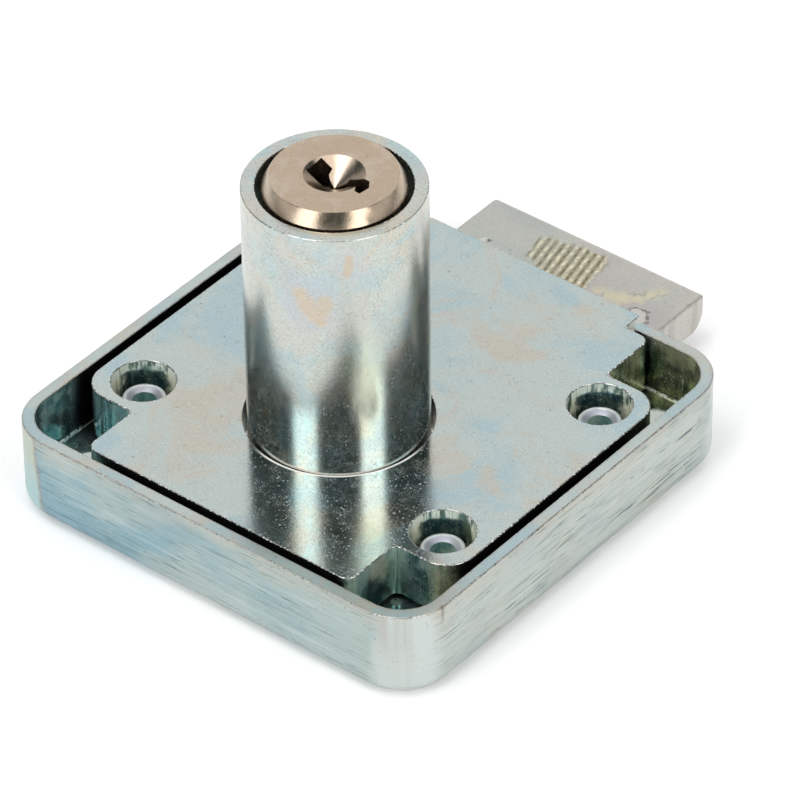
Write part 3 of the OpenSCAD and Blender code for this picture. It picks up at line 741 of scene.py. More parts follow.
def cover_finish(finish, cover, case):
    """Plating of the cover: brown, blue and grey grain, nicked edges and a painted white highlight on the
    rim before the neck.
    """
    n = Finish("zinc_cover")
    x, y, z = n.axes(n.place)
    low = -z
    blocks = [
        (cover.notch_x, COVER_LOW[1] * MM, cover.rear, cover.corner_r),
        (COVER_HIGH[0] * MM, -cover.notch_front, cover.notch_rear, cover.boss_r),
        (cover.tongue_w / 2, -cover.notch_front, COVER_HIGH[1] * MM, 0.3 * MM),
    ]
    inside = n.most(*[n.use("box_depth", Centre=(0, (a + b) / 2, 0), Half=(half_x, (b - a) / 2, 0),
                            Radius=radius)["Depth"] for half_x, a, b, radius in blocks])
    hole_x, hole_y = x - HOLE_MIDDLE[0] * MM, y - HOLE_MIDDLE[1] * MM
    from_hole = abs(n.reach(hole_x, hole_y) - cover.hole_r)
    from_access = abs(n.reach(*past_screw(x, y, case)) - cover.access_r)
    ahead = ahead_of(hole_x, hole_y)
    # the rim before the neck carries a painted white highlight, so it has no brown wear
    under_highlight = ahead.ramp_mm(4.2, 7, 0, 2 * MM)
    edge = n.most(n.least(inside, from_hole + under_highlight, from_access), low)
    mask = n.bloom(finish.zinc, finish.zinc_blue, finish.zinc_tan, 95, 0.8, 4300, 0.13)
    hair, curl = n.hair(620, 0.014), n.hair(1100, 0.03, n.moved(EVEN, (0.3, 0.5, 0.1)))
    n.lay(hair * 0.4, (0.3, 0.25, 0.2))
    # painted highlight: a white line on the hole's edge, on the side towards the camera
    rim = from_hole.ramp_mm(0.3, 0.22) * low.ramp_mm(0.6, 0.3) * ahead.ramp_mm(4.2, 7)
    n.lay(rim * 0.95, (0.94, 0.92, 0.88))
    s = n.speckle(1900, 0.45, 0.8)
    metallic = n.worn(s, edge, 0.22, n.most(rim * 1.9, hair * 0.5, curl * 0.8))
    return n.done(metallic, mask.ramp(0.3, 0.7, 0.12, 0.2), s["Height"], 0.22, 0.02)


# painted highlights: pale tan patches on the walls of the front pocket: x, y, z and radius, in millimetres
TAN_HIGHLIGHTS = [
    (16.45, -14.1, -1.3, 1.4), (16.45, -13.6, -2.4, 0.9), (21.5, -11.8, -1.7, 0.8),
    (21.5, -11.8, -2.8, 0.8), (21.5, -11.8, -4, 0.8),
]
# painted highlights: places on the pocket floor that catch the light: x, y and radius, in millimetres
PAINTED_FLOOR_HIGHLIGHTS = [(-20.7, -13.8, 0.75), (19.4, 25.5, 1.3)]
# blue rims and brown hearts of the two stains on the neck: x, y, z and radius, in millimetres
STAIN_RIMS = [(3.6, -8.25, 20.6, 2.9), (6.65, -6.06, 25, 1.6)]
STAIN_HEARTS = [
    (2.7, -8.58, 21.6, 0.8), (3.3, -8.37, 20.5, 1), (4.2, -7.96, 19.6, 1.1), (4.9, -7.55, 20.9, 0.8),
    (4.6, -7.74, 20, 0.8), (4.5, -7.79, 18.6, 0.6), (6.65, -6.06, 26.1, 0.4), (6.62, -6.1, 25.5, 0.45),
    (6.6, -6.12, 24.9, 0.45), (6.5, -6.22, 24.3, 0.45),
]
# spots that make up the smear on the bolt: x, y and radius, in millimetres
SMEAR = [
    (4.6, 35.7, 0.5), (6, 35.9, 0.9), (7.2, 36.3, 1), (8.2, 37.2, 0.9), (9, 38.3, 0.7), (9.8, 39.5, 0.4),
]


def inside_finish(name, cover, case):
    """Plating below the rim, darkened as painted shade: green in the corner pockets with painted reflection
    streaks and highlights, black painted shade in the narrow gaps.
    """
    n = Finish(name)
    x, y, z = n.axes(n.place)
    nx, nf, nr, rear, tongue_w = mm(cover, "notch_x", "notch_front", "notch_rear", "rear", "tongue_w")
    shelf, = mm(case, "shelf")
    t = n.use("wall_streaks", Fine=1500)
    wide = n.noise(330, 4, 0.6)
    tone = n.noise(90, at=((1, 1, 0.3), (0.4, 0.1, 0.2))) + x * 8 + y * 2
    tone = tone.ramp(0.42, 0.7)
    glow = n.noise(380, at=((1, 1, 0.25),)).ramp(0.46, 0.64)
    # painted shade: the pocket walls start from a dark teal and olive, far darker than the zinc outside
    n.colour = n.mix(tone, (0.13, 0.28, 0.31), (0.2, 0.27, 0.19))
    # painted reflections: soft pale patches and upright bands
    n.lay(n.most(wide.ramp(0.4, 0.64), glow), n.mix(tone, (0.46, 0.66, 0.64), (0.64, 0.66, 0.46)))
    # painted reflections: light and dark upright streaks
    n.lay(t["Light"] * 0.35, (0.8, 0.9, 0.8))
    n.lay(t["Dark"] * 0.6, (0.04, 0.09, 0.09))
    shade = (wide - 0.5) * (5 * MM)
    along = y + shade
    notch = (abs(x) + shade).ramp_mm(nx - 2.2, nx + 0.2) * (
        along.ramp_mm(2.2 - nf, -0.2 - nf) + along.ramp_mm(nr - 2.2, nr + 0.2))
    bore = n.reach(*past_screw(x, y, case)).ramp_mm(1.7, 1.5)
    tongue = y.ramp_mm(rear - 0.6, rear - 0.1) * abs(x).ramp_mm(tongue_w / 2 + 0.4, tongue_w / 2 + 0.1)
    fold_in = n.reach(x - (nx + 0.5) * MM, y + (nf + 0.5) * MM).ramp_mm(1, 0.3)
    pocket = n.most(notch, bore, tongue)
    # painted shade: outside the pockets, bores and tongue the walls face narrow gaps and are painted near
    # black
    n.colour = n.mix(pocket, (0.11, 0.12, 0.11), n.colour)
    n.lay(tongue * 0.8, (0.62, 0.6, 0.54))
    # painted highlights: pale tan patches on the front pocket's walls
    tan_highlight = n.spots(TAN_HIGHLIGHTS, 0.7) * pocket
    n.lay(tan_highlight * 0.7, (0.66, 0.62, 0.46))
    n.lay(fold_in * 0.8, n.mix(t["Dark"], (0.48, 0.68, 0.58), (0.08, 0.16, 0.13)))
    n.lay(bore * 0.6, n.mix(wide.ramp(0.42, 0.58), (0.1, 0.3, 0.26), (0.5, 0.66, 0.58)))
    # painted highlight: a thin white line just above the shelf where floor meets wall, and white patches on
    # the pocket floor
    fold_highlight = abs(z + (shelf - 0.14) * MM).ramp_mm(0.12, 0.05) * n.noise(1500).ramp(0.36, 0.5)
    floor_highlight_places = [(px, py, -shelf, r) for px, py, r in PAINTED_FLOOR_HIGHLIGHTS]
    patch = z.ramp_mm(0.3 - shelf, 0.1 - shelf) * n.spots(floor_highlight_places, 0.3)
    painted_highlight = pocket * n.most(fold_highlight * 0.75, patch)
    n.lay(painted_highlight, (0.9, 0.95, 0.92))
    s = n.speckle(2300, 0.5, 0.6)
    point = s["Point"] * pocket
    n.lay(point, WHITE)
    # share of the wall that scatters light instead of mirroring it
    matt = (z.ramp_mm(-6.4, -0.5, 0.3, 1) * n.most(glow, wide.ramp(0.3, 0.6, 0.3, 1))
            * x.ramp_mm(-20, 18, 0.36, 0.3) * y.ramp_mm(10, 24, 1, 0.72) * pocket
            * (1 + x.ramp_mm(12, 18, 0, y.ramp_mm(0, -8, 0, 0.7))))
    matt = n.most(matt, bore * 0.9, tongue * 0.7, tan_highlight * 0.45, fold_in * 0.4, 0.05)
    metallic = 1 - n.most(matt, point * 0.6, painted_highlight * 0.95)
    return n.done(metallic, wide.ramp(0.3, 0.7, 0.1, 0.26), t["Height"] * 2.5 + s["Height"], 0.5, 0.03)


def hole_finish(case):
    """Plating in the access holes, painted with light and shade: a lit band under the face, shaded dark
    green below, pale reflected streaks at both sides.

    The wall of the front hole that faces away from the camera is paler, as painted light.
    """
    n = Finish("zinc_hole")
    x, y, z = n.axes(n.place)
    along = y - case.wood_shift
    hx = x - n.math("SIGN", x) * case.wood_x
    hy = along - n.math("SIGN", along) * (case.wood_l / 2)
    across = hx * math.cos(CAMERA_TURN) + hy * math.sin(CAMERA_TURN)
    wide = n.noise(700, 3, 0.6)
    t = n.use("wall_streaks", Fine=1700)
    # painted reflections: pale streaks at both sides of the hole, as seen from the camera
    sides = abs(across + (wide - 0.5) * (1.6 * MM)).ramp_mm(1.7, 2.6)
    bright = n.noise(1300, at=((1, 1, 0.2), (0.3, 0.3, 0.3))).ramp(0.39, 0.5)
    # painted shade: dark green deep in the hole
    n.colour = n.mix(wide.ramp(0.38, 0.6), (0.05, 0.14, 0.16), (0.17, 0.3, 0.26))
    n.lay(sides * 0.9, n.mix(bright, (0.22, 0.32, 0.2), (0.97, 0.98, 0.76)))
    # painted light: a pale band under the face, where the upper wall is lit
    band = (z + (wide - 0.5) * MM).ramp_mm(-1.25, -0.85)
    n.lay(band * 0.85, n.mix(bright, (0.2, 0.32, 0.27), (0.84, 0.92, 0.82)))
    # painted reflections: light and dark upright streaks
    n.lay(t["Light"] * 0.35, (0.72, 0.8, 0.66))
    n.lay(t["Dark"] * 0.7, (0.04, 0.08, 0.08))
    # painted light: the front hole's wall that faces away from the camera is paler
    painted_light_wall = ahead_of(hx, hy).ramp_mm(0.8, 2.2) * x.ramp_mm(0, 2) * y.ramp_mm(0, -2)
    n.lay(painted_light_wall * 0.8, (0.8, 0.84, 0.62))
    s = n.speckle(2100, 0.5, 0.8)
    n.lay(s["Point"], WHITE)
    metallic = 1 - n.most(n.most(band, sides) * (0.45 + bright * 0.5), painted_light_wall * 0.9, 0.3)
    return n.done(metallic, wide.ramp(0.3, 0.7, 0.14, 0.3), t["Height"] * 2.5 + s["Height"], 0.5, 0.03)


def neck_finish(neck):
    """Plating of the neck: pale with fine curling lines, two brown stains high up, a gold glow below."""
    n = Finish("zinc_neck")
    x, y, z = n.axes(n.place)
    mask = n.bloom((0.58, 0.62, 0.57), (0.47, 0.6, 0.62), (0.64, 0.58, 0.48), 150, 0.8, 3300, 0.17)
    hair, curl = n.hair(900, 0.03), n.hair(800, 0.035, n.moved((1, 1, 0.6), (0.2, 0.1, 0.4)))
    cloud = n.noise(230, 3, 0.6, at=((1, 1, 0.45), (0.1, 0.2, 0.3))).ramp(0.47, 0.62)
    n.lay(cloud * 0.35, (0.6, 0.54, 0.5))
    n.lay(hair * 0.4, (0.3, 0.31, 0.28))
    n.lay(curl * 0.25, (0.46, 0.44, 0.38))
    # the glow is three times as high as it is wide
    squash = 0.3
    gold = n.spots([(7.68, -4.69, 10.5 * squash, 1.3)], 0.9, n.moved((1, 1, squash)))
    n.lay(gold * 0.8, (0.86, 0.89, 0.69))
    n.lay(n.spots(STAIN_RIMS, 0.6) * 0.5, (0.52, 0.54, 0.6))
    n.lay(n.spots(STAIN_HEARTS, 0.45) * 0.62, (0.64, 0.5, 0.33))
    s = n.speckle(2700, 0.45, 0.35)
    low = NECK_HIGH[2] * MM - z
    r = n.reach(x, y)
    edge = n.least(n.most(neck.neck_r - r, low), n.most(r - neck.mouth_r, low))
    metallic = n.worn(s, edge, 0.14, n.most(hair * 0.55, gold * 1.3, curl * 0.3), 0.25)
    rough = mask.ramp(0.3, 0.7, 0.11, 0.17) + z.ramp_mm(3, 12, 0, 0.09)
    return n.done(metallic, rough, s["Height"], 0.2, 0.02)


def plug_finish(finish):
    """Warm nickel: an even fine grain with small pits."""
    n = Finish("warm_nickel")
    mask = n.bloom(finish.nickel, (0.62, 0.53, 0.45), (0.5, 0.39, 0.3), 300, 0.5, 5600, 0.1)
    s = n.speckle(3000, 0.4, 0.2)
    n.lay(s["Pit"], (0.1, 0.08, 0.07))
    n.lay(s["Point"], (0.95, 0.86, 0.76))
    return n.done(1, mask.ramp(0.3, 0.7, 0.2, 0.3), s["Height"], 0.3, 0.02)


def bolt_finish(finish):
    """Dull steel with a row of yellowish file marks across the upper face, a smear, a burr and a dent."""
    n = Finish("bolt_steel")
    x, y, z = n.axes(n.place)
    x1, y1, z1 = BOLT_HIGH
    mask = n.bloom(finish.steel, (0.5, 0.53, 0.51), (0.52, 0.48, 0.46), 120, 0.7, 3600, 0.16)
    s = n.speckle(2600, 0.5, 0.35)
    top = z.ramp_mm(z1 - 0.3, z1 - 0.05)
    uneven = n.wander(2.6, 520, 4, 0.65)

    def away(*spots):
        """Distance outside the nearest of some round spots."""
        return n.least(*[n.reach(x - px * MM, y - py * MM) - r * MM for px, py, r in spots])

    # the file marks fill a four-sided field, and their strokes run across it
    along = x + (y - 36 * MM) * 0.22
    ends = along + uneven
    field = (top * (y + x * 0.5 + uneven).ramp_mm(33.3, 34) * (y + x * -0.22 + uneven).ramp_mm(41.1, 40.3)
             * ends.ramp_mm(-5.1, -4.6) * ends.ramp_mm(3.5, 2.6))
    stroke_pitch = 0.92 * MM
    wave = n.math("SINE", (along + uneven * 0.14) * (2 * math.pi / stroke_pitch))
    stroke, gap = field * wave.ramp(-0.3, 0.6), field * wave.ramp(-0.2, -0.95)
    knots = n.noise(1300).ramp(0.44, 0.6)
    n.lay(field * 0.6, (0.5, 0.46, 0.3))
    n.lay(stroke * (knots * 0.7 + 0.15), (0.88, 0.8, 0.58))
    n.lay(gap * (0.5 + knots * 0.4), (0.17, 0.14, 0.06))
    scratch = n.noise(700, 4, 0.7, at=(EVEN, (0, 0, 0), -0.6))
    far = away(*SMEAR) + (scratch - 0.5) * (4.5 * MM)
    smear = top * far.ramp_mm(0.6, -0.7) * scratch.ramp(0.3, 0.6, 0.5, 1)
    outline = top * abs(far - 0.2 * MM).ramp_mm(0.16, 0.02) * scratch.ramp(0.46, 0.6)
    n.lay(smear * 0.9, (0.7, 0.65, 0.42))
    n.lay(outline * 0.6, (0.2, 0.18, 0.13))
    dx, dy = x - 10.1 * MM, y - 34.5 * MM
    ring = n.reach(dx, dy) + uneven * 0.8
    broken = n.noise(1500).ramp(0.36, 0.5)
    burr = top * dy.ramp_mm(-0.5, 0.1) * broken * abs(ring - 1.45 * MM).ramp_mm(0.26, 0.08)
    flake = top * ring.ramp_mm(1.35, 1)
    n.lay(flake * 0.8, (0.8, 0.77, 0.7))
    n.lay(burr * 0.9, (0.07, 0.06, 0.05))
    chip = away((-9.9, 35.4, 0.28)) + uneven * 0.7
    dent = away((-9.35, 35.6, 0.2), (-9.15, 35.75, 0.16)) + uneven * 0.5
    n.lay(top * chip.ramp_mm(0.25, 0) * 0.7, (0.8, 0.79, 0.72))
    n.lay(top * dent.ramp_mm(0.12, 0) * 0.95, (0.04, 0.04, 0.04))
    long_edge = n.most(n.least(x1 * MM - x, y1 * MM - y), z1 * MM - z)
    worn_edge = (long_edge + uneven * 0.3).ramp_mm(0.42, 0.1)
    n.lay(worn_edge * 0.7, n.mix(broken, (0.2, 0.18, 0.16), (0.44, 0.42, 0.37)))
    n.lay(top * (x + uneven).ramp_mm(2, -8) * 0.25, (0.42, 0.51, 0.48))
    violet = top * n.noise(90, 3).ramp(0.4, 0.6) * x.ramp_mm(-3, 4) * 0.5
    n.lay(violet * (1 - n.most(field, smear)), (0.47, 0.44, 0.43))
    drawn = n.use("wall_streaks", Fine=800)
    flank = 1 - top
    n.lay(drawn["Dark"] * flank * 0.4, (0.3, 0.29, 0.23))
    n.lay(drawn["Light"] * flank * 0.3, (0.7, 0.68, 0.6))
    n.lay(s["Pit"], (0.08, 0.08, 0.07))
    metallic = 1 - n.most(n.most(stroke, smear * 0.6, flake) * 0.35, worn_edge * 0.55)
    rough = mask.ramp(0.3, 0.7, 0.32, 0.44) + n.most(field, burr) * 0.1
    return n.done(metallic, rough, s["Height"] * 0.6 + stroke * 2 + burr * -3, 0.6, 0.04)


def plain_finish(name, colour, rough, size):
    """Metal of one colour with small pits and an even grain."""
    n = Finish(name)
    s = n.speckle(size, 0.5, 0.3)
    n.colour = colour
    n.lay(s["Pit"], [v * 0.35 for v in colour])
    return n.done(1, s["Height"].ramp(0.3, 0.7, rough - 0.06, rough + 0.06), s["Height"], 0.2, 0.02)


def wear(obj, *materials):
    """Gives a piece its materials."""
    obj.data.materials.clear()
    for m in materials:
        obj.data.materials.append(m)


def face_places(obj):
    """Centres in millimetres and normals of a piece's faces."""
    mesh = obj.data
    centre, normal = np.zeros(3 * len(mesh.polygons)), np.zeros(3 * len(mesh.polygons))
    mesh.polygons.foreach_get("center", centre)
    mesh.polygons.foreach_get("normal", normal)
    return centre.reshape(-1, 3) / MM, normal.reshape(-1, 3)


def second_finish(obj, chosen):
    """Gives each face the piece's material of that number, from 0."""
    obj.data.polygons.foreach_set("material_index", np.asarray(chosen, np.int32))
    obj.data.update()


# operators


class LOCK_OT_case(bpy.types.Operator):
    """Cast case: a rim section carried round the outline, with posts, channel and holes"""

    bl_idname = "lock.case"
    bl_label = "Case"

    def execute(self, context):
        g = context.scene.lock_case
        corner, back, wall, shelf, channel = mm(g, "corner_r", "back_r", "wall", "shelf", "channel")
        fillet, outer, inner, end = mm(g, "fillet_r", "rim_outer_r", "rim_inner_r", "mouth_r")
        cx, mx = (w / 2 for w in mm(g, "channel_w", "mouth_w"))
        (x0, y0, z0), (x1, y1, z1) = CASE_LOW, CASE_HIGH
        corners = [[x0, y0], [x1, y0], [x1, y1], [x0, y1]]
        # the section runs from the back, up the outer wall, over the rim and down to the shelf
        section = np.vstack([
            quarter(back, z0 + back, -back, 90, 0, 10),
            quarter(outer, z1 - outer, -outer, 0, -90, 6),
            quarter(wall - inner, z1 - inner, inner, 90, 0, 5),
            quarter(wall + fillet, -shelf + fillet, -fillet, 0, 90, 6),
        ])
        obj = mesh_object("case_shell", slab(corners, corner, section, 24))
        wood = screw_places(*mm(g, "wood_x", "wood_shift", "wood_l"))
        screws = screw_places(*mm(g, "screw_x", "wood_shift", "screw_l"))
        # posts for the wood screws, with their draft, and pillars for the housing's ears
        sunk, pillar_x, pillar_r, pillar_top = -shelf - 1, 15.2, 1.2, -3.6
        post = [(0, sunk), (2.5, sunk), (2.2, -2.2), (2.15, -2.06), (2.02, -2), (0, -2)]
        pillar = rod(pillar_r, sunk, pillar_top)
        combine(obj, "UNION", *[spin(post, 56, p) for p in wood],
                *[spin(pillar, 40, (s * pillar_x, mm(g, "wood_shift")[0])) for s in (-1, 1)])
        inside_y, out_y = y1 - wall, y1
        right = np.vstack([
            [[cx, y0 + wall]],
            [[cx, inside_y - 0.05], [mx + end, inside_y - 0.05]],
            quarter(mx + end, inside_y + end, end, 270, 180, 8),
            quarter(mx + end, out_y - end, end, 180, 90, 8),
            [[mx + end, out_y + 1]],
        ])
        plan = np.vstack([right, (right * [-1, 1])[::-1]])
        # bores of the wood screws with their dished tops, and countersinks of the cover screws
        below = z0 - 1
        bore = [(0, below), (3.5, below), (1.2, -8.7), (1.2, -2.35), (2.1, -1.9), (0, -1.9)]
        sink = [(0, below), (3.776, below), (1.6, -8.65), (1.6, -6.3), (0, -6.3)]
        combine(obj, "DIFFERENCE", prism(plan, -channel, 1), *[spin(bore, 56, p) for p in wood],
                *[spin(sink, 56, p) for p in screws])
        stand_for(settle(obj), "case")
        centre, normal = face_places(obj)
        q = np.abs(centre[:, :2] - (CASE_LOW + CASE_HIGH)[:2] / 2) - (CASE_HIGH - CASE_LOW)[:2] / 2 + corner
        depth = corner - np.hypot(*np.maximum(q, 0).T) - np.minimum(q.max(1), 0)
        wear(obj, case_finish(context.scene.lock_finish, g),
             inside_finish("zinc_pocket", context.scene.lock_cover, g))
        second_finish(obj, (depth > wall - 0.05) & (centre[:, 2] > z0 + 0.1) & (centre[:, 2] < -0.1)
                      & ~((centre[:, 2] > -2.3) & (normal[:, 2] > 0.5))
                      & ~((centre[:, 1] > inside_y - 0.1) & (np.abs(centre[:, 0]) < mx + end + 0.1)))
        return {"FINISHED"}


class LOCK_OT_cover(bpy.types.Operator):
    """Cast cover: its outline carried down a rounded edge and a skirt, with holes and bosses"""

    bl_idname = "lock.cover"
    bl_label = "Cover"

    def execute(self, context):
        g, case = context.scene.lock_cover, context.scene.lock_case
        plate, skirt, rear = mm(g, "plate", "skirt", "rear")
        nx, nf, nr = mm(g, "notch_x", "notch_front", "notch_rear")
        tongue_w, tongue_z = mm(g, "tongue_w", "tongue_z")
        boss, end, hollow, edge, hole, access = mm(
            g, "boss_r", "corner_r", "inner_r", "edge_r", "hole_r", "access_r")
        y0, (x1, y1) = COVER_LOW[1], COVER_HIGH[:2]
        tx, skirt_z, channel_start = tongue_w / 2, -5.75, 17.8
        half = [[nx, y0], [nx, -nf], [x1, -nf], [x1, nr], [nx, nr], [nx, rear], [tx, rear], [tx, y1]]
        radii = [end, hollow, boss, boss, hollow, end, 0.3, 0.4]
        corners = half + [[-x, y] for x, y in half[::-1]]
        section = np.vstack([
            [[skirt, -plate], [skirt, skirt_z], [0, skirt_z]],
            quarter(edge, -edge, -edge, 0, -90, 6),
        ])
        obj = mesh_object("cover_plate", slab(corners, radii + radii[::-1], section, 12))
        wood = screw_places(*mm(case, "wood_x", "wood_shift", "wood_l"))
        screws = screw_places(*mm(case, "screw_x", "wood_shift", "screw_l"))
        combine(obj, "UNION", *[spin(rod(4.35, skirt_z, -1), 56, p) for p in wood],
                *[spin(rod(2.7, -6.5, -1), 48, p) for p in screws],
                block(-tx + 0.3, tx - 0.3, rear - skirt - 0.4, y1 - 0.3, -4.5, -1))

        def opening(r, low, lip):
            """Cutter profile of radius r that widens over its last lip millimetres."""
            flare = quarter(r + lip, -lip, lip, 180, 90, 4)
            return np.vstack([[[0, low], [r, low]], flare, [[r + lip, 1], [0, 1]]])

        cx = mm(case, "channel_w")[0] / 2
        combine(obj, "DIFFERENCE", *[spin(opening(access, -7, 0.1), 96, p) for p in wood],
                *[spin(rod(1.5, -7.5, -2.8), 40, p) for p in screws],
                spin(opening(hole, -3, 0.05), 192, HOLE_MIDDLE),
                block(-cx, cx, channel_start, y1 + 1, -7.5, -tongue_z))
        stand_for(settle(obj), "cover")
        wear(obj, cover_finish(context.scene.lock_finish, g, case), inside_finish("zinc_skirt", g, case),
             hole_finish(case))
        centre = face_places(obj)[0]
        near = np.hypot(np.abs(centre[:, 0]) - wood[-1][0], np.abs(centre[:, 1] - mm(case, "wood_shift")[0])
                        - mm(case, "wood_l")[0] / 2) < access + 0.05
        low = centre[:, 2] < -0.3
        second_finish(obj, low * 1 + (low & near))
        return {"FINISHED"}


class LOCK_OT_neck(bpy.types.Operator):
    """Cylinder neck: one closed section turned about the axis, with ears and wafer grooves"""

    bl_idname = "lock.neck"
    bl_label = "Neck"

    def execute(self, context):
        g = context.scene.lock_neck
        r, edge, mouth, mouth_h = mm(g, "neck_r", "edge_r", "mouth_r", "mouth_h")
        top, low = NECK_HIGH[2], NECK_LOW[2]
        lip, bore, foot, flange_top = 0.08, BARREL_R + 0.05, 8, -2
        section = np.vstack([
            [[foot, low], [11.2, low], [11.2, flange_top], [r, flange_top], [r, 0.2]],
            np.stack([np.full(8, r), np.linspace(1, top - edge - 1, 8)], 1),
            quarter(r - edge, top - edge, edge, 0, 90, 8),
            quarter(mouth + lip, top - lip, lip, 90, 180, 5),
            [[mouth, top - mouth_h], [bore, top - mouth_h], [bore, -2.55], [foot, -2.55]],
        ])
        obj = mesh_object("cylinder_neck", spin(section, g.steps, ring=True))
        ears = [block(x0, x0 + 8.2, 2.65, 7.25, low, flange_top) for x0 in (8.3, -16.5)]
        combine(obj, "UNION", *ears)
        combine(obj, "DIFFERENCE", prism(bow_tie(GROOVE_R, GROOVE_HALF, 10), low - 1, top - mouth_h + 0.3))
        stand_for(settle(obj), "cylinder_housing")
        wear(obj, neck_finish(g))
        return {"FINISHED"}


class LOCK_OT_plug(bpy.types.Operator):
    """Plug: a turned section with a cone, cut by the warded key slot and the wafer slots"""

    bl_idname = "lock.plug"
    bl_label = "Plug"

    def execute(self, context):
        g = context.scene.lock_neck
        head, face, cone, cone_h, mouth_h = mm(g, "head_r", "face_r", "cone_r", "cone_h", "mouth_h")
        top, shoulder = PLUG_HIGH[2], NECK_HIGH[2] - mouth_h + 0.05
        section = np.vstack([
            [[0, -3.9], [BARREL_R, -3.9], [BARREL_R, -3.55], [5.5, -3.55], [5.5, -2.65], [BARREL_R, -2.65]],
            [[BARREL_R, shoulder], [head, shoulder]],
            [[head, 27.98], [head - 0.02, 28.08], [head - 0.08, 28.2]],
            [[face + 0.05, top - 0.09], [face - 0.03, top]],
            [[cone, top], [0, top - cone_h]],
        ])
        obj = mesh_object("plug_body", spin(section, g.steps))
        combine(obj, "UNION", prism(bow_tie(3.2, 2.3, 12), PLUG_LOW[2], -3.5))
        key = [
            [-2.62, -1.1], [-0.3, -1.1], [-0.3, -0.45], [1.35, -0.45], [1.6, -0.2], [2.85, -0.3],
            [3.25, -1], [3.9, -1.05], [4.05, 0.2], [3.45, 1.05], [1, 1.1], [1, 0.5],
            [0.6, 0.3], [-0.05, 0], [-0.8, 0.28], [-1.15, 0.6], [-1.25, 1.25], [-2.62, 1.25],
        ]
        combine(obj, "DIFFERENCE", prism(fillet_path(key, 0.06, 0, 3)[0], -1, 31))
        # a wafer's slot, with the well of its spring at one side
        slot = [[-7.4, -2.15], [7.4, -2.15], [7.4, 2.15], [3.8, 2.15], [3.8, 4], [-2.2, 4], [-2.2, 2.15],
                [-7.4, 2.15]]
        levels = WAFER_LOW + WAFER_PITCH * np.arange(7)
        combine(obj, "DIFFERENCE", *[prism(slot, z - WAFER_SLOT / 2, z + WAFER_SLOT / 2) for z in levels],
                spin(rod(1.5, -6, -1.8), 40))
        stand_for(settle(obj, 14), "plug")
        wear(obj, plug_finish(context.scene.lock_finish))
        return {"FINISHED"}


class LOCK_OT_bolt(bpy.types.Operator):
    """Bolt: its side profile carried across its width with rounded edges, and the crank slot"""

    bl_idname = "lock.bolt"
    bl_label = "Bolt"

    def execute(self, context):
        g = context.scene.lock_bolt
        top_r, low_r, edge, corner, step, tail, crank, reach = mm(
            g, "nose_top_r", "nose_low_r", "edge_r", "corner_r", "step", "tail_t", "crank_r", "slot_reach")
        (x0, y0, z0), (x1, y1, z1) = BOLT_LOW, BOLT_HIGH
        profile = [[y0, z0], [y1, z0], [y1, z1], [step, z1], [step, z0 + tail], [y0, z0 + tail]]
        points, normals = fillet_path(profile, [0.2, low_r, top_r, 0.2, 0.2, 0.2], 0, 12)
        # the rounding grows from the long edges to the corners of the two ends
        round_r = edge + (corner - edge) * normals[:, 0] ** 2 * (points[:, 0] > step + 1)
        a = np.radians(np.linspace(0, 90, 7))[:, None]
        drawn_in = round_r * (1 - np.sin(a))
        side = round_r * (1 - np.cos(a))
        rings = points[None] - normals[None] * drawn_in[..., None]
        obj = mesh_object("bolt_bar", carry(
            np.concatenate([rings, rings[::-1]]), np.concatenate([x0 + side, x1 - side[::-1]]), axis="x"))
        t = np.radians(np.linspace(0, 90, 25))
        path = crank * np.stack([np.sin(t), np.cos(t) - 1 + t * 2 / np.pi], 1)
        slope = np.stack([np.cos(t), -np.sin(t) + 2 / np.pi], 1)
        normal = np.stack([-slope[:, 1], slope[:, 0]], 1) / np.linalg.norm(slope, axis=1, keepdims=True)
        upper = path + reach * normal
        middle = [[0, np.interp(0, upper[:, 0], upper[:, 1])]]
        arch = np.vstack([middle, upper[upper[:, 0] > 0.05]])
        outline = np.vstack([
            arch[::-1], (arch * [-1, 1])[1:], (arch * [-1, -1])[-2::-1], (arch * [1, -1])[1:-1]
        ]) + [0, crank]
        combine(obj, "DIFFERENCE", prism(outline, z0 - 1, z0 + tail + 1))
        stand_for(settle(obj), "bolt")
        wear(obj, bolt_finish(context.scene.lock_finish))
        return {"FINISHED"}


class LOCK_OT_inner(bpy.types.Operator):
    """Finishes of the pieces that keep their solid as it is: wafers, springs, driver and screws"""

    bl_idname = "lock.inner"
    bl_label = "Inner pieces"

    def execute(self, context):
        brass = plain_finish("wafer_brass", context.scene.lock_finish.brass, 0.28, 3000)
        spring = plain_finish("spring_wire", (0.42, 0.43, 0.45), 0.3, 5000)
        turned = plain_finish("turned_steel", (0.4, 0.41, 0.43), 0.34, 2400)
        screw = plain_finish("screw_zinc", (0.66, 0.68, 0.68), 0.26, 3200)
        chosen = {"plug_circlip": spring, "driver": turned, "crank_pin": turned,
                  "driver_screw": screw, "cover_screws": screw}
        for i in range(1, 8):
            chosen[f"wafer_{i}"] = brass
            chosen[f"wafer_spring_{i}"] = spring
        for node, m in chosen.items():
            wear(frame["nodes"][node], m)
        return {"FINISHED"}


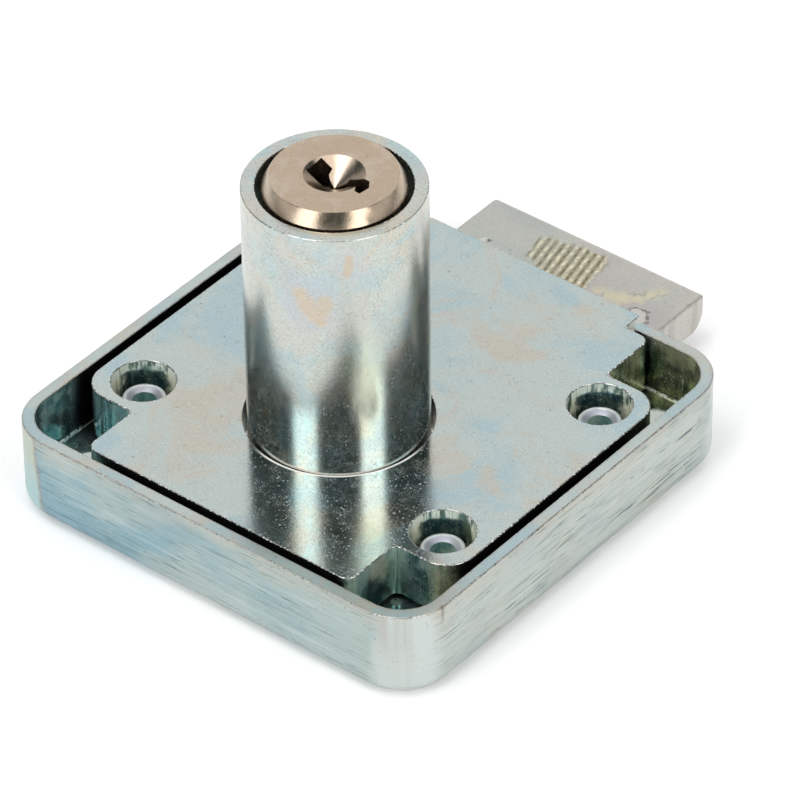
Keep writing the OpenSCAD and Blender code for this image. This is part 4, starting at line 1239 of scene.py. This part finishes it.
class LOCK_OT_stage(bpy.types.Operator):
    """Pale floor, studio light from the world, and the camera"""

    bl_idname = "lock.stage"
    bl_label = "Studio"

    def execute(self, context):
        scene = context.scene
        scene.view_settings.view_transform = "Standard"
        half, floor_z = 9000, CASE_LOW[2]
        corners = [[-half, -half], [half, -half], [half, half], [-half, half]]
        floor = mesh_object("floor", prism(fillet_path(corners, 200, 0, 6)[0], floor_z - 2, floor_z - 0.02))
        n = Finish("pale_floor", 0)
        grain = n.noise(900).ramp(0.3, 0.7, 0, 0.03)
        ray = n.named(n.add("ShaderNodeLightPath"))
        seen = n.most(*[ray[f"Is {kind} Ray"] for kind in ("Camera", "Glossy", "Transmission")])
        n.set(Base_Color=n.mix(grain, scene.lock_finish.floor, (0.8, 0.8, 0.8)), Roughness=0.9,
              Specular_IOR_Level=0, Emission_Color=n.mix(seen, (0, 0, 0), (1, 1, 1)),
              Emission_Strength=0.14)
        wear(floor, n.material)
        self.light(scene)
        self.camera(scene)
        return {"FINISHED"}

    def light(self, scene):
        """World radiance by direction: bright zenith, low panels all round, soft boxes by the camera."""
        world = bpy.data.worlds.new("studio")
        scene.world = world
        world.use_nodes = True
        world.node_tree.nodes.clear()
        n = Nodes(world.node_tree)
        way = n.out("ShaderNodeTexCoord", "Generated")
        height = n.math("ARCSINE", n.axes(way)[2])
        total = AROUND
        for azimuth, half, low, high, soft, strength in STUDIO:
            a = math.radians(CAMERA_AZIMUTH + azimuth)
            half, low, high, soft = (math.radians(v) for v in (half, low, high, soft / 2))
            across, ahead = (n.out("ShaderNodeVectorMath", "Value", {0: way, 1: v}, operation="DOT_PRODUCT")
                             for v in ((math.cos(a), math.sin(a), 0), (math.sin(a), -math.cos(a), 0)))
            turn = abs(n.math("ARCTAN2", across, ahead))
            total = total + (turn.ramp(half + soft, half - soft) * height.ramp(low - soft, low + soft)
                             * height.ramp(high + soft, high - soft) * strength)
        tint = n.mix(total.ramp(0, 0.3), (0.3, 1, 1.05), (1, 1, 1))
        light = n.out("ShaderNodeBackground", 0, {"Color": tint, "Strength": total})
        n.add("ShaderNodeOutputWorld", {"Surface": light})

    def camera(self, scene):
        """Camera of the photograph: its direction, its distance and shift in mm, and its long lens."""
        a, e, roll = (math.radians(v) for v in (CAMERA_AZIMUTH, CAMERA_ELEVATION, CAMERA_ROLL))
        forward = np.array([-math.sin(a) * math.cos(e), math.cos(a) * math.cos(e), -math.sin(e)])
        right = np.array([math.cos(a), math.sin(a), 0])
        up = np.cross(right, forward)
        turned_right = math.cos(roll) * right + math.sin(roll) * up
        turned_up = -math.sin(roll) * right + math.cos(roll) * up
        distance, shift_right, shift_up, scale = 615.363, 5.997, 1.691, 0.98901
        place = (-forward * distance + shift_right * turned_right + shift_up * turned_up) * scale * MM
        focal_pixels, photo_pixels, sensor = 6244.104, 800, 36
        data = bpy.data.cameras.new("camera")
        data.sensor_width, data.sensor_fit = sensor, "HORIZONTAL"
        data.lens = focal_pixels * sensor / photo_pixels
        data.clip_start, data.clip_end = 0.01, 20
        obj = bpy.data.objects.new("camera", data)
        scene.collection.objects.link(obj)
        matrix = np.eye(4)
        matrix[:3] = np.stack([turned_right, turned_up, -forward, place], 1)
        obj.matrix_world = Matrix(matrix.tolist())
        scene.camera = obj


# radiance where no panel shines
AROUND = 0.03
# each panel: azimuth from the camera, half width, lowest and highest elevation, width of its
# soft edge, all in degrees, and strength
STUDIO = [
    (0, 200, 67, 95, 8, 1.6),
    (-68, 32, 60, 86, 10, 3.2),
    (0, 46, 3, 18, 5, 0.5),
    (-95, 40, 10, 27, 5, 0.8),
    (95, 40, 10, 27, 5, 0.8),
    (-115, 40, 55, 68, 6, 1.1),
    (115, 40, 55, 68, 6, 1.1),
    (180, 65, 3, 24, 6, 0.5),
    (180, 24, 14, 60, 12, 0.92),
    (-43, 15, 24, 62, 5, 3.1),
    (43, 15, 24, 62, 5, 3.1),
    (-44, 15, 6, 24, 5, 2.8),
    (34, 14, 6, 24, 5, 2.8),
    (0, 200, -95, 3, 3, 0.95),
]


class LOCK_PT_panel(bpy.types.Panel):
    """Lists the pieces of the lock in the sidebar"""

    bl_label = "Furniture lock"
    bl_idname = "LOCK_PT_panel"
    bl_space_type = "VIEW_3D"
    bl_region_type = "UI"
    bl_category = "Furniture lock"

    def draw(self, context):
        for step in STEPS:
            self.layout.operator("lock." + step)


STEPS = ["case", "cover", "neck", "plug", "bolt", "inner", "stage"]
GROUPS = {"lock_case": LOCK_PG_case, "lock_cover": LOCK_PG_cover, "lock_neck": LOCK_PG_neck,
          "lock_bolt": LOCK_PG_bolt, "lock_finish": LOCK_PG_finish}
CLASSES = [*GROUPS.values(), LOCK_OT_case, LOCK_OT_cover, LOCK_OT_neck, LOCK_OT_plug, LOCK_OT_bolt,
           LOCK_OT_inner, LOCK_OT_stage, LOCK_PT_panel]


def register():
    for c in CLASSES:
        bpy.utils.register_class(c)
    for name, group in GROUPS.items():
        setattr(bpy.types.Scene, name, PointerProperty(type=group))


def unregister():
    for name in GROUPS:
        delattr(bpy.types.Scene, name)
    for c in reversed(CLASSES):
        bpy.utils.unregister_class(c)


def main():
    register()
    for step in STEPS:
        getattr(bpy.ops.lock, step)()


if __name__ == "__main__":
    main()
